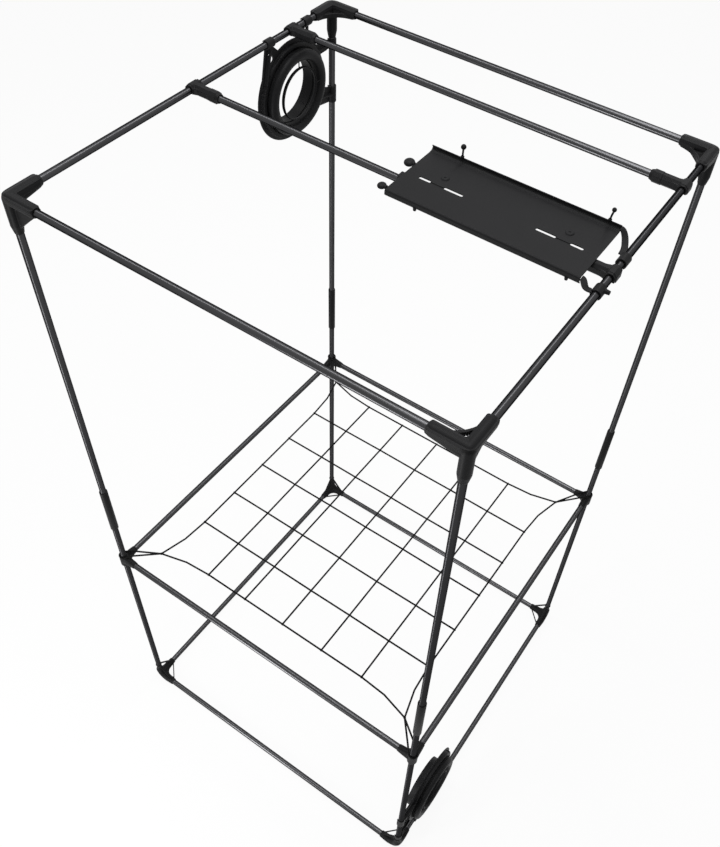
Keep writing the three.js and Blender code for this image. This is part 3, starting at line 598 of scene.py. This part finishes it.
def make_sleeves():
    """Sleeves with rounded rims and a stop ring that the two leg poles meet at."""
    half, rim, stop = SLEEVE_LENGTH / 2, 1.2, POLE_RADIUS - 1.5 * POLE_WALL
    shoulder, ease = SLEEVE_RADIUS - 0.3, 0.35 * rim
    form = turned([
        (BORE, -half), (SLEEVE_RADIUS - rim, -half), (shoulder, ease - half), (SLEEVE_RADIUS, rim - half),
        (SLEEVE_RADIUS, half - rim), (shoulder, half - ease), (SLEEVE_RADIUS - rim, half), (BORE, half),
        (BORE, SLEEVE_STOP / 2), (stop, SLEEVE_STOP / 2), (stop, -SLEEVE_STOP / 2), (BORE, -SLEEVE_STOP / 2),
    ])
    for corner in CORNER_TURNS:
        node = f"leg_sleeve_{corner}"
        piece(form, node, Matrix.Translation(middle(node)))
    discard(form)


# ---- Bottom corners ----
def elbow_route(first, second, first_reach, second_reach, steps=12):
    """Centre line from the end of one arm round the elbow to the end of the other."""
    first, second = Vector(first), Vector(second)
    turn = []
    for index in range(steps + 1):
        angle = math.pi / 2 * index / steps
        turn.append(first * ELBOW * (1 - math.sin(angle)) + second * ELBOW * (1 - math.cos(angle)))
    return [first * first_reach, *turn, second * second_reach]


def make_base_corners():
    """Three swept elbows, flat underneath, with three flat straps across them and three sockets."""
    reach = {0: BASE_ARM, 1: BASE_ARM, 2: BASE_LEG_ARM}
    axes = (X, Y, Z)
    parts = []
    mouth = BASE_MOUTH / BASE_RADIUS
    for a, b in ((0, 1), (0, 2), (1, 2)):
        route = elbow_route(axes[a], axes[b], reach[a], reach[b])
        widths = [mouth, *[1] * (len(route) - 2), mouth]
        parts.append(curve_form(route, BASE_RADIUS, widths=widths, resolution=10))
    inset, thick, half = 7, STRAP_THICKNESS * math.sqrt(2), STRAP_WIDTH / 2
    level_end, upright_end = BASE_ARM - 4, BASE_LEG_ARM - 2
    for axis, second in (("z", level_end), ("x", upright_end), ("y", upright_end)):
        strap = [(level_end - thick, inset), (level_end, inset), (inset, second), (inset, second - thick)]
        parts.append(plate(strap, axis, -half, half))
    past = 2 * BASE_LEG_ARM
    ground = plate([(-past, -past), (past, -past), (past, past), (-past, past)], "z", -past, -RAIL_LIFT)
    form = moulded(pile(*parts), grain=0.9)
    sockets = (rod(axes[i] * SOCKET_DEPTH, axes[i] * (reach[i] + PAST), BORE) for i in range(3))
    form = cut(form, ground, *sockets)
    for corner in CORNER_TURNS:
        piece(form, f"base_corner_{corner}", corner_place(corner, bottom_level))
    discard(form)


# ---- Corners at the net ----
def make_mid_corners():
    """A hub on the leg, two arms that narrow from the hub to the mouth, and a fillet between them."""
    def arm():
        return loft([
            (0, HUB_RADIUS, HUB_TOP),
            (0.35 * MID_ARM, MID_ARM_RADIUS + 1.4, MID_ARM_RADIUS + 4.6),
            (0.7 * MID_ARM, MID_ARM_RADIUS + 0.6, MID_ARM_RADIUS + 1.6),
            (MID_ARM, MID_MOUTH, MID_MOUTH),
        ])

    edge = MID_ARM_RADIUS - 2
    far = edge + MID_FILLET
    fillet = [(0, 0), (far, 0), (far, edge), *arc((far, far), MID_FILLET, -90, -180, 10), (0, far)]
    form = pile(
        rod(Z * -HUB_BOTTOM, Z * HUB_TOP, HUB_RADIUS),
        arm(), turned_over(arm(), Matrix.Rotation(math.pi / 2, 4, "Z")),
        plate(fillet, "z", -edge, edge),
    )
    form = cut(
        moulded(form, grain=0.8), rod(Z * (-HUB_BOTTOM - PAST), Z * (HUB_TOP + PAST), BORE),
        *(rod(axis * MID_SOCKET, axis * (MID_ARM + PAST), BORE) for axis in (X, Y)),
    )
    for corner in CORNER_TURNS:
        piece(form, f"mid_corner_{corner}", corner_place(corner, mid_level))
    discard(form)


# ---- Top corners ----
def top_corner_form(web_size, strapped):
    """Three round sockets, a flat deck on top, a keel under one arm, and the web and strap."""
    outer, inner, shoulder = -DECK_OUTER, DECK_INNER, TOP_ARM - TOP_TAPER
    tip, outer_ease, inner_ease, notch = TOP_ARM - 0.5, 5, 4, 3
    deck = [
        *bend((outer, outer + DECK_CORNER), (outer, outer), (outer + DECK_CORNER, outer)),
        *bend((shoulder, outer), (tip, outer), (tip, outer + outer_ease)),
        *bend((tip, inner - inner_ease), (tip, inner), (tip - inner_ease, inner)),
        (inner + notch, inner), (inner, inner + notch),
        *bend((inner, tip - inner_ease), (inner, tip), (inner - inner_ease, tip)),
        *bend((outer + outer_ease, tip), (outer, tip), (outer, shoulder)),
    ]
    parts = []
    for axis in (X, Y):
        parts += [rod((0, 0, 0), axis * shoulder, TOP_RADIUS)]
        parts += [rod(axis * shoulder, axis * TOP_ARM, TOP_RADIUS, TOP_MOUTH)]
    parts += [
        rod(Z * -KEEL_DROP, Y * shoulder - Z, TOP_RADIUS - 0.5),
        ball((0, 0, 0), TOP_RADIUS), plate(deck, "z", DECK_ROOT, DECK_HEIGHT),
        rod(Z * -TOP_LEG_ARM, Z * (LEG_TAPER - TOP_LEG_ARM), LEG_MOUTH, TOP_RADIUS),
        rod(Z * (LEG_TAPER - TOP_LEG_ARM), (0, 0, 0), TOP_RADIUS),
    ]
    if strapped:
        parts.append(plate([*bend(*STRAP_FRONT), *bend(*STRAP_BACK)], "z", STRAP_BOTTOM, STRAP_TOP))
    if web_size:
        reach, foot = WEB_REACH * web_size, WEB_FOOT * web_size
        slope = bend((reach, -TOP_RADIUS), (0.6 * reach, 0.55 * foot), (11, foot))
        web = [(0, 0), (reach, 0), *slope, (0, foot)]
        parts.append(plate(web, "y", -WEB_THICKNESS / 2, WEB_THICKNESS / 2))
    return cut(
        moulded(pile(*parts), grain=0.8, rounds=2),
        *(rod(axis * SOCKET_DEPTH, axis * (TOP_ARM + PAST), BORE) for axis in (X, Y)),
        rod(Z * (-TOP_LEG_ARM - PAST), Z * -SOCKET_DEPTH, BORE),
    )


def make_top_corners():
    web_sizes = {"front_left": 1, "front_right": 1, "back_right": 0.8, "back_left": 0}
    for corner, web_size in web_sizes.items():
        form = top_corner_form(web_size, strapped=corner != "front_left")
        piece(form, f"top_corner_{corner}", corner_place(corner, top_level))
        discard(form)


# ---- Cross poles' T connectors ----
def throat(axis, low, high):
    """Cuts the open side of a clip from below a pole along the axis."""
    half, depth = SNAP_WIDTH / 2, 30
    return plate([(-half, -depth), (half, -depth), (half, 0), (-half, 0)], axis, low, high)


def octagon(radius):
    """Eight corners (u, v) whose flats stand the radius away from the middle."""
    half_turn = math.pi / 8
    angles = [half_turn + index * math.pi / 4 for index in range(8)]
    return [tuple(radius / math.cos(half_turn) * t for t in (math.cos(a), math.sin(a))) for a in angles]


def make_tees():
    """A faceted saddle open below, with lower ends, and a faceted sleeve that thickens to its rim."""
    half = SADDLE_LENGTH / 2
    crown = [(u, v) for u, v in octagon(SADDLE_RADIUS) if v > 0]
    block = [(-SADDLE_RADIUS, SADDLE_FOOT), (SADDLE_RADIUS, SADDLE_FOOT), *crown]
    end_block = [(u * 0.9, v * 0.9) for u, v in block]
    gusset_start, gusset_end, rim_start, rim_end = 6, 22, TEE_REACH - 26, TEE_REACH - 7
    gusset = [
        (gusset_start, -half), (gusset_end, 2 - TEE_RADIUS),
        (gusset_end, TEE_RADIUS - 2), (gusset_start, half),
    ]
    form = cut(
        moulded(pile(
            plate(block, "y", -0.7 * half, 0.7 * half), plate(end_block, "y", -half, half),
            plate(octagon(TEE_RADIUS - 0.8), "x", 4, TEE_REACH - 8),
            plate(octagon(TEE_RADIUS), "x", rim_start, rim_end),
            rod(X * rim_end, X * TEE_REACH, TEE_RADIUS - 0.4, TEE_MOUTH),
            plate(gusset, "z", SADDLE_FOOT, 7),
        ), grain=0.5, rounds=3),
        rod(Y * (-half - PAST), Y * (half + PAST), BORE), throat("y", -half - PAST, half + PAST),
        rod(X * TEE_SOCKET, X * (TEE_REACH + PAST), BORE),
    )
    for row in ("middle", "back"):
        line = middle(f"cross_pole_{row}")
        for side, turn in (("left", 0), ("right", math.pi)):
            rail = middle(f"lower_leg_front_{side}").x
            place = Matrix.Translation((rail, line.y, top_level)) @ Matrix.Rotation(turn, 4, "Z")
            piece(form, f"tee_{row}_{side}", place)
    discard(form)


# ---- Net ----
def cord(points, radius=CORD_RADIUS, smooth=False):
    """A cord along points, whose V coordinate runs along it in centimetres."""
    form = curve_form(points, radius, smooth=smooth, resolution=4)
    length = sum((Vector(b) - Vector(a)).length for a, b in zip(points, points[1:]))
    for corner in form.data.uv_layers[0].data:
        corner.uv = (corner.uv.x, corner.uv.y * length / 10)
    return form


def net_corner_loop(turns):
    """A cord from the net's corner round the leg above the hub and back."""
    leg = middle("lower_leg_back_right") / MM
    out = Vector((leg.x - NET_CORNER, leg.y - NET_CORNER, 0))
    span, turn_radius = out.length, POLE_RADIUS + LOOP_CLEARANCE + CORD_RADIUS
    rise, rest = HUB_TOP + FIT_GAP + CORD_RADIUS, out.length - HUB_RADIUS * 2
    wrap = math.pi - math.acos(turn_radius / span)
    heading = math.atan2(out.y, out.x)

    def at(along, across):
        flat = Vector((along, across, rise * min(along / rest, 1)))
        flat.rotate(Quaternion(Z, heading))
        return flat + Vector((NET_CORNER, NET_CORNER, 0))

    steps = 24
    angles = [wrap * (1 - 2 * index / steps) for index in range(steps + 1)]
    round_leg = [at(span + turn_radius * math.cos(a), turn_radius * math.sin(a)) for a in angles]
    touch = turn_radius * math.sin(wrap) * rest / (span + turn_radius * math.cos(wrap))
    route = [at(0, 0), at(rest, touch), *round_leg, at(rest, -touch), at(0, 0)]
    return turned_over(cord(route), Matrix.Rotation(turns * math.pi / 2, 4, "Z"))


def hitch(place, heading):
    """A cord's end tied round the border in two turns."""
    steps, rounds, half_width, thread = 24, 2, 1.6, 1.0
    coil = []
    for index in range(steps + 1):
        angle = 2 * math.pi * rounds * index / steps
        along = half_width * (2 * index / steps - 1)
        coil.append((
            along, (KNOT_RADIUS - thread) * math.cos(angle), (KNOT_RADIUS - thread) * math.sin(angle),
        ))
    form = cord(coil, radius=thread)
    return turned_over(form, Matrix.Translation(place) @ Matrix.Rotation(heading, 4, "Z"))


def make_net():
    """Straight cords that go over and under each other, a border, a tie at each end and corner loops."""
    outer = NET_PITCH * (NET_LINES - 1) / 2
    places = [index * NET_PITCH - outer for index in range(NET_LINES)]
    high, low, slope_length = 0.5 * CORD_RADIUS, 0.2 * CORD_RADIUS, 8
    parts = []
    for row, place in enumerate(places):
        across = [(-NET_EDGE, place, 0)]
        along = [(place, -NET_EDGE, 0)]
        for column, other in enumerate(places):
            side = 1 if (column + row) % 2 else -1
            for step, level in ((-slope_length, low), (0, high), (slope_length, low)):
                across.append((other + step, place, side * level))
                along.append((place, other + step, -side * level))
        parts += [cord([*across, (NET_EDGE, place, 0)]), cord([*along, (place, NET_EDGE, 0)])]
    middle_u, middle_v = (NET_CORNER + outer) / 2, NET_EDGE + (NET_CORNER - NET_EDGE) * 0.22
    for turns in range(4):
        turn = Matrix.Rotation(turns * math.pi / 2, 4, "Z")
        border = [
            (-NET_CORNER, -NET_CORNER, 0), (-middle_u, -middle_v, 0),
            *((place, -NET_EDGE, 0) for place in places),
            (middle_u, -middle_v, 0), (NET_CORNER, -NET_CORNER, 0),
        ]
        parts.append(turned_over(cord(border), turn))
        for place in places:
            parts.append(turned_over(hitch((place, -NET_EDGE, 0), 0), turn))
        parts.append(turned_over(hitch((NET_CORNER, NET_CORNER, 0), math.pi / 4), turn))
        parts.append(net_corner_loop(turns))
    form = pile(*parts)
    piece(form, "net", Matrix.Translation((0, 0, mid_level)), shade_angle=60)
    discard(form)


# ---- Equipment board; the cross pole's centre under its middle is its centre ----
board_middle = middle("equipment_board")
board_place = Matrix.Translation((board_middle.x, middle("cross_pole_middle").y, top_level))
board_under = TEE_RIM + FIT_GAP
board_top = board_under + BOARD_THICKNESS
sheet_level = board_under + BOARD_THICKNESS / 2


def make_board():
    """A sheet folded down in front and up behind, with two round bosses, two beads, four slots and two
    nubs under its front edge."""
    level, back = sheet_level, BOARD_BACK
    line = [
        (BOARD_FRONT + 5, level - 14), (BOARD_FRONT + 1, level - 10),
        *bend((BOARD_FRONT + 1, level - 4), (BOARD_FRONT + 1, level), (BOARD_FRONT + 5, level), 6),
        *bend((back - 15, level), (back - 2, level), (back - 1, level + LIP_HEIGHT - 3), 10),
        (back - 4, level + LIP_HEIGHT),
    ]
    form = plate(ribbon(line, BOARD_THICKNESS), "x", -BOARD_HALF, BOARD_HALF)
    raised, holes = [], []
    for side in (-1, 1):
        boss = side * BOSS_OFFSET
        raised.append(rod((boss, BOSS_LINE, level), (boss, BOSS_LINE, board_top + 2), 10, 7))
        start, end = sorted((side * (INNER_SLOT[1] - 3), side * (OUTER_SLOT[0] + 3)))
        front, rear = SLOT_LINE - 1.5, SLOT_LINE + 1.5
        bead = [(start, front), (end, front), (end, rear), (start, rear)]
        raised.append(plate(bead, "z", level, board_top + 1.2))
        for ends in (OUTER_SLOT, INNER_SLOT):
            start, end = sorted(side * place for place in ends)
            slot = slot_outline(start, end, SLOT_LINE, SLOT_WIDTH)
            holes.append(plate(slot, "z", board_under - PAST, board_top + PAST))
        holes.append(rod((boss, BOSS_LINE, board_top + 0.8), (boss, BOSS_LINE, board_top + 4), 2, 4))
    for place in NUB_PLACES:
        raised.append(rod((place, BOARD_FRONT + 2, level - 17), (place, BOARD_FRONT + 2, level - 10), 3, 4))
    form = cut(join(form, *raised), *holes)
    piece(edged(form, width=0.35), "equipment_board", board_place, flats=True)
    discard(form)


def make_ball_peg(node, ball_radius, stem, lean):
    """A round foot, a thin stem that may lean, and a ball."""
    foot_radius = 4
    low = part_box(node)[0]
    foot = Vector((low.x + foot_radius * MM if lean else middle(node).x, middle(node).y, low.z))
    shaft = [(0, 0, 1), (0.15 * lean, 0, 0.4 * stem), (0.5 * lean, 0, 0.75 * stem), (lean, 0, stem)]
    form = moulded(pile(
        rod((0, 0, 0), (0, 0, 2.5), foot_radius, 3.4), curve_form(shaft, 2, smooth=True),
        ball((lean, 0, stem + ball_radius * 0.8), ball_radius),
    ), grain=0.35, rounds=3)
    piece(form, node, Matrix.Translation(foot))
    discard(form)


def make_side_knob(node, ball_radius, neck):
    """A neck and a flattened ball with a straight waist, out to the left of the board."""
    low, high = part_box(node)
    edge = Vector((high.x, (low.y + high.y) / 2, (low.z + high.z) / 2))
    flattened = Matrix.Translation(X * -neck) @ Matrix.Diagonal((1.0, 1.1, 0.62, 1))
    half_waist = Z * 2.5
    waist = rod(X * -ball_radius - half_waist, X * -ball_radius + half_waist, 0.86 * ball_radius)
    form = moulded(pile(
        rod((0, 0, 0), (-neck - 2, 0, 0), 4.6, 4),
        turned_over(ball((-ball_radius, 0, 0), ball_radius), flattened), turned_over(waist, flattened),
    ), grain=0.4, rounds=3)
    piece(form, node, Matrix.Translation(edge))
    discard(form)


def make_board_clip():
    """An open clip on the front cross pole, with a pad that the board lies on."""
    half, pad_half, pad_top = BOARD_CLIP / 2, 9, board_under - FIT_GAP
    pad = [(-pad_half, 0), (pad_half, 0), (pad_half, pad_top), (-pad_half, pad_top)]
    form = pile(plate(softened(pad, 1), "x", -half, half), rod(X * -half, X * half, CLIP_RADIUS))
    form = cut(
        moulded(form, grain=0.5, rounds=3),
        rod(X * -BOARD_CLIP, X * BOARD_CLIP, BORE), throat("x", -BOARD_CLIP, BOARD_CLIP),
    )
    line = middle("cross_pole_middle")
    piece(form, "board_clip", Matrix.Translation((middle("board_clip").x, line.y, line.z)))
    discard(form)


def make_board_hooks():
    """Curved straps from the board's right edge to open clips on the rail; the front one has a knob."""
    leg_x = middle("lower_leg_front_right").x / MM
    rail = leg_x - board_middle.x / MM
    edge, clip_side = BOARD_HALF + FIT_GAP, rail - CLIP_RADIUS
    half = HOOK_LENGTH / 2
    back = [
        (edge, BOARD_BACK - 6, sheet_level + 8), (edge + 4, BOARD_BACK - 6, sheet_level + 8),
        (edge + 13, BOARD_BACK - 12, sheet_level + 1), (edge + 20, BOARD_BACK - 25, 9),
        (clip_side + 1, HOOK_BACK + 24, 5), (clip_side + 2, HOOK_BACK + 8, 4),
    ]
    front = [
        (edge, BOARD_FRONT + 7, sheet_level - 3), (edge + 4, BOARD_FRONT + 7, sheet_level - 3),
        (edge + 11, BOARD_FRONT - 4, 8), (edge + 18, BOARD_FRONT - 8, 5),
        (clip_side + 2, BOARD_FRONT - 4, 4),
    ]
    place = Matrix.Translation((leg_x * MM, middle("cross_pole_middle").y, top_level))
    for node, route, centre in (("board_hook_back", back, HOOK_BACK), ("board_hook_front", front, HOOK_FRONT)):
        start, end = centre - half, centre + half
        strap = [Vector(p) - X * rail for p in route]
        parts = [
            rod(Y * start, Y * end, CLIP_RADIUS),
            curve_form(strap, 1.5, half_width=5, tilt=math.pi / 2, smooth=True),
        ]
        if node == "board_hook_front":
            parts.append(rod((CLIP_RADIUS - 2, centre + 6, 2), (CLIP_RADIUS + 8, centre + 6, 2), 5, 4))
        form = cut(
            moulded(pile(*parts), grain=0.5, rounds=3), rod(Y * (start - half), Y * (end + half), BORE),
            throat("y", start - 1, end + 1),
        )
        piece(form, node, place)
        discard(form)


# ---- Duct rings; the duct runs along +X through the centre ----
CLIP_WAYS = {"y": Y, "z": Z}


def clip_body(axis, start, end, offset):
    return rod(offset + CLIP_WAYS[axis] * start, offset + CLIP_WAYS[axis] * end, CLIP_RADIUS)


def clip_tools(axis, start, end, offset):
    """The bore of a pole clip and its open side."""
    way, start, end = CLIP_WAYS[axis], start - 1, end + 1
    half, past = SNAP_WIDTH / 2, 1.5 * CLIP_RADIUS
    bore = rod(offset + way * start, offset + way * end, BORE)
    shift = offset.y if axis == "z" else offset.z
    gap = [(-past, shift - half), (0, shift - half), (0, shift + half), (-past, shift + half)]
    return [bore, plate(gap, axis, start, end)]


def duct_mount_form():
    """A band with a flange and a ladder of notches, plate arms with ribs, and four open pole clips."""
    far_rail, near_rail = RAIL_CLIPS
    high_leg, low_leg = LEG_CLIPS
    rail_foot = DUCT_FROM_RAIL - BORE - 1
    leg_foot = DUCT_FROM_LEG - BORE - 1
    band = turned([
        (BAND_INNER, -6), (FLANGE_OUTER, -6), (FLANGE_OUTER, -2.5),
        (BAND_OUTER, -1), (BAND_OUTER, 8), (BAND_INNER, 8),
    ], axis=X, steps=DUCT_STEPS)
    arms = [
        [(-112, 42), (far_rail - 11, rail_foot), (far_rail + 11, rail_foot), (-38, 112), (-70, 88)],
        [
            (near_rail - 20, 100), (near_rail - 12, 100),
            (near_rail - 4, rail_foot), (near_rail - 11, rail_foot),
        ],
        [(near_rail + 2, 92), (near_rail + 10, 92), (near_rail + 10, rail_foot), (near_rail + 3, rail_foot)],
        [(78, 78), (100, 45), (leg_foot, high_leg - 11), (leg_foot, high_leg + 11)],
        [(104, -40), (leg_foot, low_leg + 20), (leg_foot, low_leg - 21), (76, -86)],
    ]
    ribs = [
        ([(-100, 58), (far_rail, rail_foot)], 9),
        ([(92, -62), (leg_foot, low_leg)], 9),
        ([(90, 62), (leg_foot, high_leg)], 6),
    ]
    foot, tip, half = BAND_OUTER - 2, BAND_OUTER + 2.2, 1.3
    rung = [(foot, -half), (tip, -half), (tip, half), (foot, half)]
    angles = [math.pi + (index - (RUNG_COUNT - 1) / 2) * RUNG_STEP for index in range(RUNG_COUNT)]
    rungs = [turned_over(plate(rung, "x", -3, 6), Matrix.Rotation(angle, 4, "X")) for angle in angles]
    rail, leg = Z * DUCT_FROM_RAIL, Y * DUCT_FROM_LEG
    clips = [("y", place, CLIP_LENGTH, rail) for place in RAIL_CLIPS]
    clips += [("z", high_leg, CLIP_LENGTH, leg), ("z", low_leg, LONG_CLIP, leg)]
    spans = [
        (axis, centre - length / 2, centre + length / 2, offset) for axis, centre, length, offset in clips
    ]
    sill = rail_foot - 12
    window = [(-90, 74), (far_rail - 5, sill), (far_rail + 3, sill), (-62, 104), (-74, 93)]
    arm_back, arm_front, rib_thickness = -5, 0, 3
    parts = [band, *(plate(outline, "x", arm_back, arm_front) for outline in arms)]
    parts += [plate(ribbon(line, rib_thickness), "x", arm_back, height) for line, height in ribs]
    parts += [*rungs, *(clip_body(*span) for span in spans)]
    form = moulded(pile(*parts), grain=0.95, rounds=3)
    tools = [tool for span in spans for tool in clip_tools(*span)]
    return cut(form, plate(softened(window, 4), "x", -8, 3), *tools)


def duct_spigot_form():
    """The short pipe behind the band that a duct slips over, with its seat in the band."""
    outer, shoulder = DUCT_BORE + SPIGOT_WALL, BAND_INNER - FIT_GAP
    return turned([
        (DUCT_BORE, SPIGOT_BACK), (DUCT_BORE + 1, SPIGOT_BACK), (outer - 0.6, SPIGOT_BACK),
        (outer, SPIGOT_BACK + 0.8), (outer, -5.2), (outer + 1.2, -4),
        (shoulder - 0.5, -4), (shoulder, -3.5), (shoulder, 1.5), (shoulder - 0.5, 2),
        (DUCT_BORE + 0.5, 2), (DUCT_BORE, 1.5),
    ], axis=X, steps=DUCT_STEPS)


def duct_mouth_form():
    """The rounded lip of the duct, and a hoop on three spokes inside it."""
    seat, rim = 2 + FIT_GAP, BAND_INNER - 4
    lip = turned([
        (LIP_BORE, seat), (rim - 0.5, seat), (rim, seat + 0.5), (rim, 11), (rim + 0.6, 13),
        (LIP_OUTER, 16), (LIP_OUTER, 20), (LIP_OUTER - 2, 24), (LIP_OUTER - 5.5, 26.7),
        ((LIP_OUTER + LIP_BORE) / 2 + 2, LIP_FRONT),
        (LIP_BORE + 9, 27.4), (LIP_BORE + 5, 26), (LIP_BORE + 1.6, 23.6), (LIP_BORE, 20),
    ], axis=X, steps=DUCT_STEPS)
    hoop = turned([
        (HOOP_RADIUS + HOOP_THICK * u, HOOP_PLACE + HOOP_WIDTH * v) for u, v in arc((0, 0), 1, 0, 330, 11)
    ], axis=X, steps=DUCT_STEPS)
    spokes = []
    for angle in (0, 90, 270):
        spoke = rod((HOOP_PLACE, HOOP_RADIUS, 0), (HOOP_PLACE, LIP_BORE + 3, 0), 1.4, sides=16)
        spokes.append(turned_over(spoke, Matrix.Rotation(math.radians(angle), 4, "X")))
    return pile(lip, hoop, *spokes)


def make_ducts():
    forms = {"mount": duct_mount_form(), "spigot": duct_spigot_form(), "mouth": duct_mouth_form()}
    for name, leg, turn in (("top", "back_left", 0), ("low", "front_right", math.pi)):
        centre = middle(f"duct_spigot_{name}")
        place = Matrix.Translation((middle(f"lower_leg_{leg}").x, centre.y, centre.z))
        place = place @ Matrix.Rotation(turn, 4, "X")
        for kind, form in forms.items():
            piece(form, f"duct_{kind}_{name}", place)
    for form in forms.values():
        discard(form)


# ---- Stage ----
FLOOR_SIZE, FLOOR_WHITE_SHARE, SKY_STRENGTH = 40, 0.93, 0.3
PAPER, WHITE = (0.9, 0.9, 0.9, 1), (1, 1, 1, 1)


def seen_as_white(nodes, links):
    """1 for the rays that look straight at the background, also in a gloss or through a clear part."""
    path = nodes.new("ShaderNodeLightPath")
    total = path.outputs["Is Camera Ray"]
    for kind in ("Is Glossy Ray", "Is Transmission Ray"):
        either = nodes.new("ShaderNodeMath")
        either.operation = "MAXIMUM"
        links.new(total, either.inputs[0])
        links.new(path.outputs[kind], either.inputs[1])
        total = either.outputs[0]
    return total


def paper_material():
    """A white floor that keeps the shadows: most of its white is its own where it is seen as background."""
    material = bpy.data.materials.new("floor_paper")
    material.use_nodes = True
    nodes, links = material.node_tree.nodes, material.node_tree.links
    nodes.clear()
    matt = nodes.new("ShaderNodeBsdfDiffuse")
    matt.inputs["Color"].default_value = PAPER
    glow = nodes.new("ShaderNodeEmission")
    seen = seen_as_white(nodes, links)
    share = nodes.new("ShaderNodeMath")
    share.operation = "MULTIPLY"
    share.inputs[1].default_value = FLOOR_WHITE_SHARE
    mix = nodes.new("ShaderNodeMixShader")
    output = nodes.new("ShaderNodeOutputMaterial")
    links.new(seen, share.inputs[0])
    links.new(share.outputs[0], mix.inputs[0])
    links.new(matt.outputs[0], mix.inputs[1])
    links.new(glow.outputs[0], mix.inputs[2])
    links.new(mix.outputs[0], output.inputs[0])
    return material


def add_stage():
    bm = bmesh.new()
    bmesh.ops.create_grid(bm, x_segments=1, y_segments=1, size=FLOOR_SIZE / 2)
    floor = made(bm)
    floor.name = "floor"
    floor.data.materials.append(paper_material())
    world = bpy.data.worlds.new("studio")
    scene.world = world
    world.use_nodes = True
    nodes, links = world.node_tree.nodes, world.node_tree.links
    sky = nodes["Background"]
    sky.inputs["Color"].default_value = WHITE
    sky.inputs["Strength"].default_value = SKY_STRENGTH
    white = nodes.new("ShaderNodeBackground")
    white.inputs["Color"].default_value = WHITE
    white.inputs["Strength"].default_value = 1
    mix = nodes.new("ShaderNodeMixShader")
    links.new(seen_as_white(nodes, links), mix.inputs[0])
    links.new(sky.outputs[0], mix.inputs[1])
    links.new(white.outputs[0], mix.inputs[2])
    links.new(mix.outputs[0], nodes["World Output"].inputs[0])


def add_lamp(name, place, target, size, watts):
    data = bpy.data.lights.new(name, "AREA")
    data.shape = "RECTANGLE"
    data.size, data.size_y = size
    data.energy = watts
    lamp = bpy.data.objects.new(name, data)
    lamp.location = place
    lamp.rotation_euler = (Vector(target) - Vector(place)).to_track_quat("-Z", "Y").to_euler()
    scene.collection.objects.link(lamp)


add_camera()
add_stage()
add_lamp("overhead_across", place=(-1.3, 0.1, 4.4), target=(-1.3, 0.1, 0), size=(5.6, 0.45), watts=72)
add_lamp("overhead_along", place=(-0.1, 1.4, 4.5), target=(-0.1, 1.4, 0), size=(0.45, 5.6), watts=72)
add_lamp("low_front", place=(-0.5, -2.0, 0.5), target=(0, 0, 0.9), size=(0.35, 1.0), watts=26)

for node in slot_of:
    if slot_of[node] == "pole":
        make_pole(node)
make_sleeves()
make_base_corners()
make_mid_corners()
make_top_corners()
make_tees()
make_net()
make_board()
make_ball_peg("peg_back_left", ball_radius=5.5, stem=18, lean=0)
make_ball_peg("peg_back_right", ball_radius=4.5, stem=20, lean=3)
make_side_knob("knob_front_left", ball_radius=9, neck=2)
make_side_knob("knob_left", ball_radius=11, neck=1)
make_board_clip()
make_board_hooks()
make_ducts()

scene.view_settings.view_transform = "Standard"
